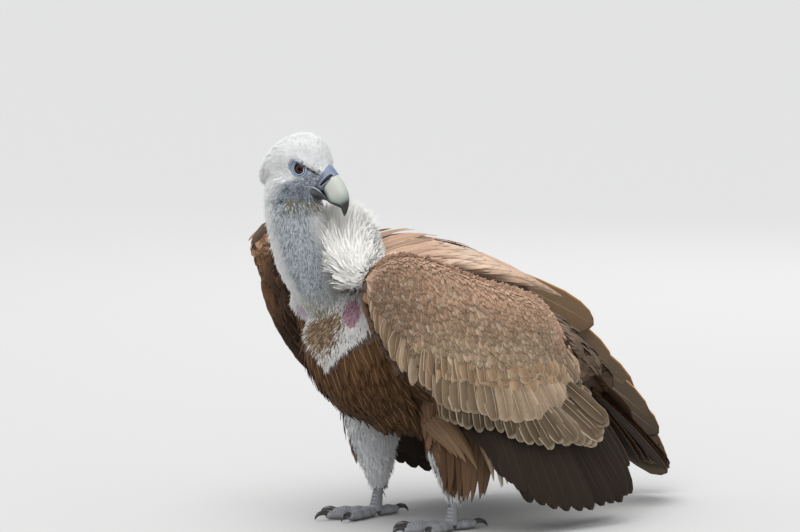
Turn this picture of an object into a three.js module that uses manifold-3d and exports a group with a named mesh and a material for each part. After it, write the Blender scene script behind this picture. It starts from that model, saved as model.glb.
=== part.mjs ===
// Griffon vulture (Gyps fulvus), a life-size still model. It stands with its wings hanging a little
// open, its neck half drawn in above the ruff and its head turned to its left.
// Millimetres, +Z up. The bird faces -Y, its left side is +X and the floor is z = 0.
import * as THREE from "three";
import { mergeVertices } from "three/addons/utils/BufferGeometryUtils.js";
import Module from "manifold-3d";

const wasm = await Module();
wasm.setup();

// ---------------------------------------------------------------- driving sizes
const GAP = 0.35; // clear space left between pieces that touch
const SUNK = 7; // how deep a feather's root is sunk in what it grows from
const RACHIS = 1.5; // height of a feather's ridge above its underside
const HEAD_AT = [11.2, -242.1, 518.4]; // midway between the eyes
const HEAD_TURN = 27; // degrees that the bill points behind square left
const HEAD_PITCH = 25; // degrees that the bill points down
const EYE_OUT = 24.5; // the eyes' centres, to each side of the head's middle
const EYE_RADIUS = 9.2;
const LEFT_FOOT = [84, -56];
const RIGHT_FOOT = [-78, -87];
const RIGHT_WING_RAISED = 3; // degrees that the right wing's front is raised, against the left's
const RIGHT_WING_MOVED = [0, -4, 14];
const TOE_RADIUS = 8.5;
const TOE_HEIGHT = 7.6; // a toe's middle above the floor; under TOE_RADIUS, so its pad is a flat
const FLOOR_DEPTH = 60;

const point = (x, y, z) => new THREE.Vector3(x, y, z);
const radians = THREE.MathUtils.degToRad;
const mix = THREE.MathUtils.lerp;

// A seeded draw from 0 to 1, so that feathers vary and come out the same each time.
let drawn = 20260;
function draw() {
  drawn = (drawn * 16807) % 2147483647;
  return drawn / 2147483647;
}

// ---------------------------------------------------------------- solids

// One closed surface through rings of equal count, with a pole at each end. The diagonals alternate,
// so both faces of a thin vane are split alike.
function closedSkin(rings, first, last) {
  const count = rings[0].length;
  const points = [first, ...rings.flat(), last];
  const end = points.length - 1;
  const id = (ring, column) => 1 + ring * count + (column % count);
  const faces = [];
  for (let j = 0; j < count; j++) {
    faces.push(0, id(0, j + 1), id(0, j));
    faces.push(end, id(rings.length - 1, j), id(rings.length - 1, j + 1));
    for (let i = 0; i + 1 < rings.length; i++) {
      const a = id(i, j);
      const b = id(i, j + 1);
      const c = id(i + 1, j + 1);
      const d = id(i + 1, j);
      faces.push(...(j % 2 === 0 ? [a, b, c, a, c, d] : [a, b, d, b, c, d]));
    }
  }
  const geometry = new THREE.BufferGeometry().setFromPoints(points);
  geometry.setIndex(faces);
  return geometry;
}

// A closed geometry as a solid, turned so that its faces point out.
function solid(geometry) {
  const bare = new THREE.BufferGeometry();
  bare.setAttribute("position", geometry.getAttribute("position"));
  if (geometry.index) bare.setIndex(geometry.index);
  const merged = mergeVertices(bare, 1e-4);
  const made = (triVerts) =>
    new wasm.Manifold(
      new wasm.Mesh({
        numProp: 3,
        vertProperties: new Float32Array(merged.attributes.position.array),
        triVerts,
      }),
    );
  const faces = new Uint32Array(merged.index.array);
  const first = made(faces);
  return first.volume() > 0 ? first : made(faces.reverse());
}

function geometryOf(body) {
  const mesh = body.getMesh();
  const places = new Float32Array(mesh.numVert * 3);
  for (let i = 0; i < mesh.numVert; i++) {
    const from = i * mesh.numProp;
    places.set(mesh.vertProperties.subarray(from, from + 3), i * 3);
  }
  const geometry = new THREE.BufferGeometry();
  geometry.setAttribute("position", new THREE.BufferAttribute(places, 3));
  geometry.setIndex(new THREE.BufferAttribute(new Uint32Array(mesh.triVerts), 1));
  return geometry;
}

const fuse = (core, geometries) => geometries.reduce((body, g) => body.add(solid(g)), core);
const cut = (body, cutters) => cutters.reduce((rest, cutter) => rest.subtract(cutter), body);
const biggest = (body) => body.decompose().reduce((a, b) => (a.volume() > b.volume() ? a : b));

// The same geometry on the bird's other side.
const mirrored = (geometry) => geometry.clone().applyMatrix4(new THREE.Matrix4().makeScale(-1, 1, 1));

// A place of the left wing, carried over to the right wing.
function onRightWing(place) {
  const pivot = point(0, 0, 280);
  const there = place.clone().sub(pivot).applyAxisAngle(point(1, 0, 0), -radians(RIGHT_WING_RAISED));
  there.add(pivot).add(point(...RIGHT_WING_MOVED));
  return there.setX(-there.x);
}

function ontoRightWing(geometry) {
  const copy = geometry.clone();
  const places = copy.getAttribute("position");
  for (let i = 0; i < places.count; i++) {
    const p = onRightWing(new THREE.Vector3().fromBufferAttribute(places, i));
    places.setXYZ(i, p.x, p.y, p.z);
  }
  return copy;
}

// ---------------------------------------------------------------- fleshy forms

// A body of oval sections along a smooth line. Each station is [x, y, z, half width, half height];
// width runs along side, and height square to side and to the line, or along upright when given.
function pod(stations, { side = [1, 0, 0], upright, around = 16, along = 14, power = 2 } = {}) {
  const line = new THREE.CatmullRomCurve3(stations.map(([x, y, z]) => point(x, y, z)));
  const sizes = new THREE.CatmullRomCurve3(stations.map(([, , , wide, high]) => point(wide, high, 0)));
  function frame(t) {
    const ahead = line.getTangent(t);
    if (upright) return { ahead, up: point(...upright), across: point(...side) };
    const up = point(...side).cross(ahead).normalize();
    return { ahead, up, across: ahead.clone().cross(up).normalize() };
  }
  // A place on the surface: t along the line, angle round it from the side, lift off the surface.
  function at(t, angle, lift = 0) {
    const { up, across } = frame(t);
    const size = sizes.getPoint(t);
    const round = (v) => Math.sign(v) * Math.abs(v) ** (2 / power);
    return line
      .getPoint(t)
      .addScaledVector(across, (Math.max(size.x, 0.5) + lift) * round(Math.cos(angle)))
      .addScaledVector(up, (Math.max(size.y, 0.5) + lift) * round(Math.sin(angle)));
  }
  function outward(t, angle) {
    const here = at(t, angle);
    const alongIt = at(Math.min(t + 0.02, 1), angle).sub(at(Math.max(t - 0.02, 0), angle));
    const roundIt = at(t, angle + 0.1).sub(at(t, angle - 0.1));
    const normal = alongIt.cross(roundIt).normalize();
    return normal.dot(here.sub(line.getPoint(t))) < 0 ? normal.negate() : normal;
  }
  function geometry(grow = 0) {
    const rings = [];
    for (let i = 0; i <= along; i++) {
      const ring = [];
      for (let j = 0; j < around; j++) ring.push(at(i / along, (j / around) * 2 * Math.PI, grow));
      rings.push(ring);
    }
    const poleLift = (t) => 0.35 * Math.min(sizes.getPoint(t).x, sizes.getPoint(t).y) + grow;
    const first = line.getPoint(0).addScaledVector(frame(0).ahead, -poleLift(0));
    const last = line.getPoint(1).addScaledVector(frame(1).ahead, poleLift(1));
    return closedSkin(rings, first, last);
  }
  return { line, at, outward, geometry };
}

// ---------------------------------------------------------------- feathers

// Half width along a feather, as shares of its widest: where, how wide.
const COVERT = [[0, 0.42], [0.42, 0.95], [0.86, 0.84]];
const POINTED = [[0, 0.45], [0.32, 1], [0.68, 0.78], [0.9, 0.3]];
const LONG = [[0, 0.3], [0.3, 0.85], [0.68, 1], [0.93, 0.62]];
const LOCK = [[0, 0.6], [0.38, 1], [0.78, 0.58]];

// A feather or lock: a thin cambered vane along a bent line from its root to its tip. out is the way
// its upper face looks, and roll tips it about its length so that it lies over its neighbour.
function vane({ root, tip, out, half, bulge = 0, roll = 0, camber = 0.09, shape = COVERT, thick = RACHIS }) {
  const middle = root.clone().lerp(tip, 0.5).addScaledVector(out, bulge);
  const line = new THREE.QuadraticBezierCurve3(root, middle, tip);
  const rings = shape.map(([t, share]) => {
    const ahead = line.getTangent(t);
    const across = ahead.clone().cross(out).normalize().applyAxisAngle(ahead, roll);
    const up = across.clone().cross(ahead).normalize();
    const wide = half * share;
    const here = line.getPoint(t);
    const edge = (way) =>
      here.clone().addScaledVector(across, way * wide).addScaledVector(up, -camber * wide);
    return [
      edge(-1),
      here.clone().addScaledVector(up, thick * 0.8),
      edge(1),
      here.clone().addScaledVector(up, -thick * 0.2),
    ];
  });
  return closedSkin(rings, line.getPoint(0), line.getPoint(1));
}

// A row of feathers that grow from a pod, with their tips along a smooth line. Their upper faces look
// straight out of the pod, or along faces when it is given. step lays each over the last one.
function featherRow(body, { count, from, to, angle, angleTo = angle, tips, faces, step = 0, ...feather }) {
  const tipLine = new THREE.CatmullRomCurve3(tips.map((p) => point(...p)));
  const row = [];
  for (let i = 0; i < count; i++) {
    const share = i / (count - 1);
    const t = mix(from, to, share);
    const turn = radians(mix(angle, angleTo, share));
    const out = faces ? point(...faces).normalize() : body.outward(t, turn);
    const root = body.at(t, turn, -SUNK).addScaledVector(out, step * i);
    const tip = tipLine.getPoint(share).lerp(root, 0.05 * draw()).addScaledVector(out, step * i);
    row.push(vane({ root, tip, out, ...feather }));
  }
  return row;
}

// ---------------------------------------------------------------- torso

const torso = pod(
  [
    [0, -226, 264, 24, 30],
    [0, -212, 263, 58, 70],
    [0, -176, 267, 88, 108],
    [0, -118, 276, 112, 138],
    [0, -40, 274, 122, 136],
    [0, 40, 268, 112, 116],
    [0, 114, 246, 88, 78],
    [0, 175, 226, 60, 50],
    [0, 214, 210, 32, 28],
  ],
  { upright: [0, 0, 1], around: 18, along: 14 },
);

// ---------------------------------------------------------------- neck and ruff

const neck = pod(
  [
    [0, -176, 300, 30, 28],
    [0, -221, 334, 29, 27],
    [0, -236, 359, 37, 35],
    [-1, -245, 387, 43, 41],
    [-3, -251, 417, 45, 43],
    [-7, -256, 447, 44, 43],
    [-11, -258, 475, 42, 41],
    [-13, -255, 502, 36, 36],
  ],
  { around: 14, along: 8 },
);

// The ruff's core, a crescent round the back of the neck from one side of the crop to the other.
const bothSides = (half, centre) => [...half, centre, ...half.map(([x, ...rest]) => [-x, ...rest]).reverse()];
const ruff = pod(
  bothSides(
    [
      [60, -229, 342, 7, 8],
      [62, -210, 362, 11, 16],
      [48, -186, 384, 13, 22],
      [25, -175, 392, 14, 25],
    ],
    [0, -172, 394, 14, 26],
  ),
  { side: [0, 0.94, 0.34], around: 8, along: 12 },
);

// Tiers of flat locks that stand up and out all round the core.
const RUFF_TIERS = [
  {
    count: 9,
    angle: 84,
    tips: bothSides([[52, -234, 366], [74, -212, 410], [58, -172, 446], [30, -152, 460]], [0, -146, 466]),
  },
  {
    count: 10,
    angle: 46,
    tips: bothSides([[68, -232, 350], [86, -206, 392], [72, -168, 430], [40, -142, 446]], [0, -130, 452]),
  },
  {
    count: 11,
    angle: 6,
    tips: bothSides([[74, -228, 330], [88, -202, 366], [78, -168, 402], [44, -144, 420]], [0, -128, 428]),
  },
];

// ---------------------------------------------------------------- wings (left; the right mirrors it)

const arm = pod(
  [
    [146, -236, 358, 7, 14],
    [150, -228, 353, 12, 31],
    [157, -210, 341, 18, 51],
    [165, -180, 319, 23, 73],
    [171, -140, 297, 26, 92],
    [174, -90, 284, 26, 95],
    [174, -40, 272, 25, 88],
    [170, 10, 263, 22, 81],
    [163, 50, 252, 16, 68],
    [157, 80, 236, 10, 40],
    [154, 92, 231, 5, 19],
  ],
  { upright: [0, 0, 1], around: 14, along: 12, power: 2.2 },
);

const hand = pod(
  [
    [142, -210, 318, 6, 12],
    [140, -180, 276, 8, 24],
    [139, -110, 226, 8, 30],
    [137, -30, 172, 8, 28],
    [132, 34, 140, 6, 20],
  ],
  { around: 10, along: 8 },
);

// The upper arm, from the shoulder out to the wing's panel.
const upperArm = pod(
  [
    [70, -120, 322, 36, 30],
    [110, -128, 326, 40, 36],
    [156, -140, 318, 44, 42],
  ],
  { side: [0, 1, 0], upright: [0, 0, 1], around: 12, along: 3 },
);

// Each row of the wing: where it grows on the arm, its feathers, and where their tips lie.
const ARM_ROWS = [
  {
    // secondaries
    count: 9,
    from: 0.42,
    to: 0.97,
    angle: -82,
    angleTo: -70,
    faces: [1, 0.1, -0.05],
    half: 25,
    bulge: 6,
    roll: 0.13,
    shape: LONG,
    tips: [
      [188, -52, 92],
      [188, -10, 47],
      [184, 50, 28],
      [176, 120, 26],
      [166, 175, 30],
      [150, 212, 42],
    ],
  },
  {
    // greater coverts
    count: 10,
    from: 0.34,
    to: 0.96,
    angle: -54,
    angleTo: -38,
    faces: [1, 0, -0.2],
    half: 17,
    bulge: 8,
    roll: 0.13,
    tips: [
      [190, -146, 184],
      [195, -104, 164],
      [198, -28, 144],
      [198, 34, 130],
      [190, 78, 127],
      [178, 112, 126],
      [166, 134, 150],
    ],
  },
  {
    // median coverts
    count: 8,
    from: 0.28,
    to: 0.91,
    angle: -28,
    angleTo: -18,
    half: 19,
    bulge: 9,
    roll: 0.13,
    tips: [
      [194, -166, 214],
      [203, -108, 192],
      [208, -42, 175],
      [208, 10, 168],
      [200, 50, 172],
      [184, 94, 184],
    ],
  },
];

// The long inner feathers that lie over the rump, for each wing before it is carried to its side.
const TERTIALS = {
  left: {
    count: 4,
    from: 0.74,
    to: 0.93,
    angle: 30,
    angleTo: 82,
    half: 22,
    bulge: 12,
    roll: 0.12,
    shape: LONG,
    tips: [
      [160, 132, 194],
      [142, 156, 208],
      [116, 190, 216],
      [92, 210, 232],
    ],
  },
  right: {
    count: 5,
    from: 0.74,
    to: 0.95,
    angle: -10,
    angleTo: 82,
    half: 30,
    bulge: 18,
    roll: 0.1,
    shape: LONG,
    tips: [
      [130, 372, 104],
      [112, 362, 134],
      [90, 350, 172],
      [70, 314, 228],
      [52, 258, 288],
    ],
  },
};

const PRIMARIES = {
  left: {
    count: 7,
    from: 0.5,
    to: 0.97,
    angle: -75,
    angleTo: -55,
    faces: [1, 0.1, 0],
    half: 20,
    bulge: 3,
    step: -1.2,
    shape: LONG,
    tips: [
      [142, 96, 30],
      [138, 140, 27],
      [130, 182, 28],
      [118, 222, 34],
    ],
  },
  right: {
    count: 6,
    from: 0.55,
    to: 0.95,
    angle: -60,
    angleTo: -10,
    faces: [0.8, 0, 0.6],
    half: 20,
    bulge: 3,
    step: 2.2,
    shape: LONG,
    tips: [
      [120, 264, 50],
      [110, 320, 64],
      [97, 354, 84],
      [82, 382, 98],
      [70, 402, 116],
    ],
  },
};

// ---------------------------------------------------------------- shoulder feathers and tail

// Pointed feathers in tiers over the shoulder; tips are for the left side.
const SCAPULAR_ROWS = [
  {
    count: 4,
    from: 0.27,
    to: 0.45,
    angle: 46,
    angleTo: 50,
    half: 19,
    bulge: 27,
    tips: [
      [150, -104, 402],
      [162, -58, 390],
      [164, 0, 372],
      [158, 52, 346],
    ],
  },
  {
    count: 5,
    from: 0.26,
    to: 0.56,
    angle: 62,
    angleTo: 64,
    half: 17,
    bulge: 22,
    tips: [
      [112, -78, 420],
      [128, -10, 400],
      [126, 60, 370],
      [110, 122, 334],
    ],
  },
  {
    count: 3,
    from: 0.32,
    to: 0.62,
    angle: 80,
    angleTo: 80,
    half: 19,
    bulge: 17,
    tips: [
      [54, -44, 424],
      [66, 20, 406],
      [62, 86, 372],
      [48, 150, 330],
    ],
  },
];

// The tail's stump, and the feathers that fan out from it in two tiers.
const tailStump = pod(
  [
    [0, 204, 208, 26, 20],
    [0, 222, 194, 24, 15],
    [0, 240, 176, 18, 9],
  ],
  { around: 12, along: 4 },
);
const TAIL_TIERS = [
  { count: 9, from: [14, 230, 182], to: [46, 362, 56], drop: 26, half: 19, bulge: 8 },
  { count: 3, from: [9, 222, 199], to: [20, 290, 138], drop: 12, half: 19, bulge: 8 },
];
const TAIL_STEP = 2.4; // how far each tail feather lies under the next one in
const TAIL_UP = [0, 0.7, 0.72];

function tailFeathers({ count, from, to, drop, half, bulge }) {
  const fan = [];
  const out = point(...TAIL_UP).normalize();
  for (let i = 0; i < count; i++) {
    const share = (2 * i) / (count - 1) - 1;
    const under = (-TAIL_STEP * Math.abs(share) * (count - 1)) / 2 - (share < 0 ? TAIL_STEP / 2 : 0);
    const root = point(from[0] * share, from[1], from[2]).addScaledVector(out, under);
    const tip = point(to[0] * share, to[1] - drop * share ** 2, to[2]).addScaledVector(out, under);
    fan.push(vane({ root, tip, out, half, bulge, shape: LONG, camber: 0.03 }));
  }
  return fan;
}

// ---------------------------------------------------------------- head, in its own frame

// x to the head's right, y forward along the bill, z up, from midway between the eyes.
const skull = pod(
  [
    [0, -75, -31, 15, 18],
    [0, -66, -28, 30, 33],
    [0, -48, -14, 40, 40],
    [0, -22, -1, 39, 40],
    [0, 2, -1, 34, 36],
    [0, 16, -5, 24, 28],
    [0, 25, -8.5, 14, 18],
  ],
  { upright: [0, 0, 1], around: 14, along: 9 },
);
const cere = pod(
  [
    [0, 18, -4, 13, 16.4],
    [0, 25, -4.6, 14.2, 18.6],
    [0, 34, -6, 13.4, 17.6],
    [0, 45, -8, 12, 15.4],
  ],
  { around: 12, along: 4 },
);
const upperBill = pod(
  [
    [0, 30, -7, 11.6, 16],
    [0, 44, -7.5, 11.4, 15.6],
    [0, 54, -9.4, 11, 13.8],
    [0, 63, -12.4, 9.4, 11],
    [0, 70, -18, 7, 8.4],
    [0, 74.3, -25, 4.2, 5.2],
    [0, 76.6, -32, 2, 2.6],
  ],
  { around: 12, along: 9 },
);
const lowerBill = pod(
  [
    [0, 8, -32, 14, 8],
    [0, 24, -29.5, 13, 7.5],
    [0, 40, -27, 11, 5.4],
    [0, 54, -26, 8.4, 4.6],
    [0, 66, -25.5, 5, 3.4],
  ],
  { around: 10, along: 5 },
);
const CERE_EDGE = [[41, 8.6], [33, -24]]; // y, z of the cere's front edge, from its top to the mouth
const MOUTH_LINE = [[-5, -25], [8, -26.5], [30, -24.6], [48, -22.5], [62, -22], [69, -25], [70, -60]]; // y, z
const NOSTRIL = { from: [35, -12], to: [39.5, 4], wide: 3.2, deep: 6 }; // y, z

// A slab in front of or behind the cere's front edge, to part the cere from the bill.
function edgeSlab(way) {
  const [[y1, z1], [y0, z0]] = CERE_EDGE;
  const slope = Math.atan2(y1 - y0, z1 - z0);
  const slab = new THREE.BoxGeometry(60, 60, 90).translate(0, way * (30 - GAP / 2), 0);
  return slab.rotateX(-slope).translate(0, (y0 + y1) / 2, (z0 + z1) / 2);
}

// A wedge below or above the line of the mouth, to part the two halves of the bill.
function mouthWedge(way) {
  const outline = MOUTH_LINE.map(([y, z]) => new THREE.Vector2(y, z - (way * GAP) / 2));
  const closing = way > 0 ? [[110, -60], [110, 90], [-5, 90]] : [[-5, -60.5]];
  outline.push(...closing.map(([y, z]) => new THREE.Vector2(y, z)));
  const wedge = new THREE.ExtrudeGeometry(new THREE.Shape(outline), { depth: 80, bevelEnabled: false });
  return wedge.translate(0, 0, -40).applyMatrix4(
    new THREE.Matrix4().makeBasis(point(0, 1, 0), point(0, 0, 1), point(1, 0, 0)),
  );
}

function nostril(side) {
  const [y0, z0] = NOSTRIL.from;
  const [y1, z1] = NOSTRIL.to;
  const slit = new THREE.CapsuleGeometry(NOSTRIL.wide / 2, Math.hypot(y1 - y0, z1 - z0), 3, 8);
  slit.rotateX(Math.PI / 2 - Math.atan2(y1 - y0, z1 - z0) - Math.PI / 2);
  return slit.scale(NOSTRIL.deep / NOSTRIL.wide, 1, 1).translate(side * 13.5, (y0 + y1) / 2, (z0 + z1) / 2);
}

const eyeBall = (side, grow = 0) =>
  new THREE.SphereGeometry(EYE_RADIUS + grow, 12, 8).translate(side * EYE_OUT, 0, 0);

function eyelid(side) {
  const ring = new THREE.TorusGeometry(EYE_RADIUS * 0.92, 2.4, 5, 12);
  ring.scale(1.08, 0.9, 1).rotateY(Math.PI / 2);
  return ring.rotateZ(side * -0.12).translate(side * (EYE_OUT + 5.2), 0, 0);
}

const browRidge = (side) =>
  solid(pod([[20, -10, 12, 5, 3], [29, 2, 12, 6, 4], [24, 14, 7, 5, 3]].map(([x, ...rest]) => [side * x, ...rest]),
    { around: 6, along: 3 }).geometry());

// ---------------------------------------------------------------- legs and feet

// A feathered thigh and shin from the belly to the heel, then the bare tarsus to the foot.
function legForms(side, [footX, footY]) {
  const thigh = pod(
    [
      [side * 88, footY + 2, 206, 38, 58],
      [side * 90, footY + 2, 168, 38, 58],
      [side * 88, footY + 2, 128, 33, 48],
      [side * 86, footY + 3, 98, 26, 36],
      [footX, footY + 4, 74, 19, 25],
      [footX, footY + 5, 56, 13, 17],
    ],
    { side: [1, 0, 0], around: 12, along: 8 },
  );
  const tarsus = pod(
    [
      [footX, footY + 6, 62, 8, 9],
      [footX, footY + 5, 40, 7, 8],
      [footX, footY + 2, 18, 8, 10],
      [footX, footY, 9, 10, 13],
    ],
    { around: 8, along: 5 },
  );
  return { thigh, tarsus };
}

// Long feathers that hang down the back of a thigh; tips are offsets from the foot.
const TROUSERS = {
  count: 5,
  from: 0.3,
  to: 0.62,
  angle: -150,
  angleTo: -30,
  half: 14,
  bulge: 9,
  shape: POINTED,
  tips: [
    [-22, 34, 70],
    [-8, 52, 62],
    [6, 62, 56],
    [18, 50, 58],
    [30, 30, 70],
  ],
};

// Each toe: its heading in degrees out from straight ahead, and its length to the claw.
const TOES = [
  ["inner", -24, 62],
  ["middle", 2, 78],
  ["outer", 30, 60],
  ["hind", 176, 38],
];

function toeForms(side, [footX, footY], heading, length) {
  const turn = radians(heading) * side;
  const ahead = point(Math.sin(turn), -Math.cos(turn), 0);
  const spot = (reach, z) => {
    const p = point(footX, footY, z).addScaledVector(ahead, reach);
    return [p.x, p.y, p.z];
  };
  const r = TOE_RADIUS;
  const across = [ahead.y, -ahead.x, 0];
  const toe = pod(
    [
      [...spot(11, TOE_HEIGHT), r * 0.9, r * 0.9],
      [...spot(mix(11, length, 0.3), TOE_HEIGHT), r, r],
      [...spot(mix(11, length, 0.55), TOE_HEIGHT - 0.4), r * 0.86, r * 0.9],
      [...spot(mix(11, length, 0.8), TOE_HEIGHT - 0.8), r * 0.92, r * 0.92],
      [...spot(length, TOE_HEIGHT - 0.6), r * 0.66, r * 0.74],
    ],
    { side: across, around: 8, along: 5 },
  );
  const claw = pod(
    [
      [...spot(length - 2, 9), 4.6, 5.4],
      [...spot(length + 7, 11), 3.8, 4.6],
      [...spot(length + 15, 8), 2.6, 3.2],
      [...spot(length + 19, 3.2), 0.9, 1.2],
    ],
    { side: across, around: 6, along: 4 },
  );
  return { toe, claw };
}

// ---------------------------------------------------------------- building

const material = (color, roughness) => new THREE.MeshStandardMaterial({ color, roughness });
const PAINT = {
  brown: material(0x6b4a2f, 0.85),
  tan: material(0xa08668, 0.85),
  dark: material(0x2c211b, 0.7),
  white: material(0xe9e7df, 0.95),
  horn: material(0xb9bfb2, 0.4),
  slate: material(0x5d6470, 0.5),
  claw: material(0x2b2a2a, 0.35),
  eye: material(0x5a2f16, 0.1),
  skin: material(0x7d7c78, 0.6),
};

const bird = new THREE.Group();
const headGroup = new THREE.Group();
headGroup.position.set(...HEAD_AT);
{
  // The bird faces -Y, so a bill that points square left is along +X.
  const turn = radians(HEAD_TURN);
  const pitch = radians(HEAD_PITCH);
  const level = point(Math.cos(turn), Math.sin(turn), 0);
  const right = point(Math.sin(turn), -Math.cos(turn), 0);
  const ahead = level.clone().multiplyScalar(Math.cos(pitch)).setZ(-Math.sin(pitch));
  const up = right.clone().cross(ahead);
  headGroup.setRotationFromMatrix(new THREE.Matrix4().makeBasis(right, ahead, up));
}
bird.add(headGroup);
bird.updateMatrixWorld(true);

const worldOf = (geometry, group) => geometry.clone().applyMatrix4(group.matrixWorld);

// Adds a world-space solid to a group as a named mesh in that group's own frame.
function addPiece(group, name, body, paint) {
  const geometry = geometryOf(biggest(body));
  geometry.applyMatrix4(group.matrixWorld.clone().invert());
  geometry.computeVertexNormals();
  const mesh = new THREE.Mesh(geometry, paint);
  mesh.name = name;
  group.add(mesh);
}

function addGroup(name) {
  const group = new THREE.Group();
  group.name = name;
  bird.add(group);
  return group;
}

const torsoCore = solid(torso.geometry());
const torsoGrown = solid(torso.geometry(GAP));

// ---- head
const inHead = (geometry) => solid(worldOf(geometry, headGroup));
const eyesGrown = [-1, 1].map((side) => inHead(eyeBall(side, GAP)));
const cereSolid = inHead(cere.geometry());
const cereGrown = inHead(cere.geometry(GAP));
const below = inHead(mouthWedge(-1));
const above = inHead(mouthWedge(1));
const lids = [-1, 1].map((side) => worldOf(eyelid(side), headGroup));
const brows = [-1, 1].map((side) => worldOf(geometryOf(browRidge(side)), headGroup));
const lowerGrown = inHead(lowerBill.geometry(GAP));
const skullSolid = inHead(skull.geometry());
const skullGrown = inHead(skull.geometry(GAP));
addPiece(headGroup, "head", cut(fuse(skullSolid, [...lids, ...brows]), [...eyesGrown, cereGrown, lowerGrown]), PAINT.white);
for (const [name, side] of [["eye_right", 1], ["eye_left", -1]])
  addPiece(headGroup, name, inHead(eyeBall(side)), PAINT.eye);
const nostrils = [-1, 1].map((side) => inHead(nostril(side)));
addPiece(headGroup, "cere", cut(cereSolid, [...nostrils, below, inHead(edgeSlab(1))]), PAINT.slate);
addPiece(headGroup, "bill_upper", cut(inHead(upperBill.geometry()), [below, inHead(edgeSlab(-1))]), PAINT.horn);
addPiece(headGroup, "bill_lower", cut(inHead(lowerBill.geometry()), [above]), PAINT.slate);

// ---- neck and ruff
const neckGrown = solid(neck.geometry(GAP));
addPiece(bird, "neck", cut(solid(neck.geometry()), [torsoGrown, skullGrown, lowerGrown, cereGrown]), PAINT.white);
const locks = RUFF_TIERS.flatMap((tier) =>
  featherRow(ruff, { from: 0.02, to: 0.98, half: 15, bulge: 7, thick: 3, camber: 0.1, shape: LOCK, ...tier }),
);
addPiece(bird, "ruff", cut(fuse(solid(ruff.geometry()), locks), [torsoGrown, neckGrown, skullGrown]), PAINT.white);

// ---- wings
const armsGrown = [];
for (const [sideName, side] of [["left", 1], ["right", -1]]) {
  const own = (geometry) => solid(side > 0 ? geometry : ontoRightWing(geometry));
  const all = (geometries) => geometries.map((g) => (side > 0 ? g : ontoRightWing(g)));
  const wing = addGroup("wing_" + sideName);
  const armGrown = own(arm.geometry(GAP)).add(own(upperArm.geometry(GAP)));
  // The right wing leans in at the front, so the first feather of each row is left out there.
  const rows = ARM_ROWS.flatMap((row) => featherRow(arm, row).slice(side > 0 ? 0 : 1));
  const coverts = all([...rows, ...featherRow(arm, TERTIALS[sideName])]);
  const armSolid = fuse(own(arm.geometry()), [...all([upperArm.geometry()]), ...coverts]);
  addPiece(wing, `wing_${sideName}_arm`, cut(armSolid, [torsoGrown]), PAINT.tan);
  const flight = all(featherRow(hand, PRIMARIES[sideName]));
  addPiece(wing, `wing_${sideName}_hand`, cut(fuse(own(hand.geometry()), flight), [torsoGrown, armGrown]), PAINT.dark);
  armsGrown.push(armGrown);
}

// ---- torso, with the shoulder feathers of both sides
const shoulders = SCAPULAR_ROWS.flatMap((row) => featherRow(torso, { roll: 0.12, shape: POINTED, ...row }));
addPiece(bird, "torso", cut(fuse(torsoCore, [...shoulders, ...shoulders.map(mirrored)]), armsGrown), PAINT.brown);

// ---- tail
const tailSolid = fuse(solid(tailStump.geometry()), TAIL_TIERS.flatMap(tailFeathers));
addPiece(bird, "tail", cut(tailSolid, [torsoGrown]), PAINT.dark);

// ---- legs
const floor = solid(
  new THREE.BoxGeometry(1200, 1200, FLOOR_DEPTH).translate(0, 0, -FLOOR_DEPTH / 2),
);
for (const [sideName, side, foot] of [["left", 1, LEFT_FOOT], ["right", -1, RIGHT_FOOT]]) {
  const leg = addGroup("leg_" + sideName);
  const { thigh, tarsus } = legForms(side, foot);
  const tips = TROUSERS.tips.map(([x, y, z]) => [foot[0] + side * x, foot[1] + y, z]);
  const trousers = featherRow(thigh, { ...TROUSERS, tips });
  addPiece(leg, `leg_${sideName}_thigh`, cut(fuse(solid(thigh.geometry()), trousers), [torsoGrown]), PAINT.brown);
  const thighGrown = solid(thigh.geometry(GAP));
  const tarsusGrown = solid(tarsus.geometry(GAP));
  addPiece(leg, `leg_${sideName}_tarsus`, cut(solid(tarsus.geometry()), [thighGrown, floor]), PAINT.skin);
  const done = [];
  for (const [toeName, heading, length] of TOES) {
    const { toe, claw } = toeForms(side, foot, heading, length);
    const toeSolid = cut(solid(toe.geometry()), [tarsusGrown, floor, ...done]);
    addPiece(leg, `toe_${sideName}_${toeName}`, toeSolid, PAINT.skin);
    const toeGrown = solid(toe.geometry(GAP));
    addPiece(leg, `claw_${sideName}_${toeName}`, cut(solid(claw.geometry()), [toeGrown, floor]), PAINT.claw);
    done.push(toeGrown);
  }
}

// The frame's origin is under the middle of the whole bird, on the floor.
const bounds = new THREE.Box3().setFromObject(bird, true);
const middle = bounds.getCenter(new THREE.Vector3());
bird.position.set(-middle.x, -middle.y, -bounds.min.z);

export default bird;
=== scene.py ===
# Griffon vulture, a life-size still model: skin, down, feathers, bill, eyes and feet.
import math

import bpy
import numpy as np
from mathutils import Matrix, Vector
from mathutils.bvhtree import BVHTree
from mathutils.kdtree import KDTree


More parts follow.
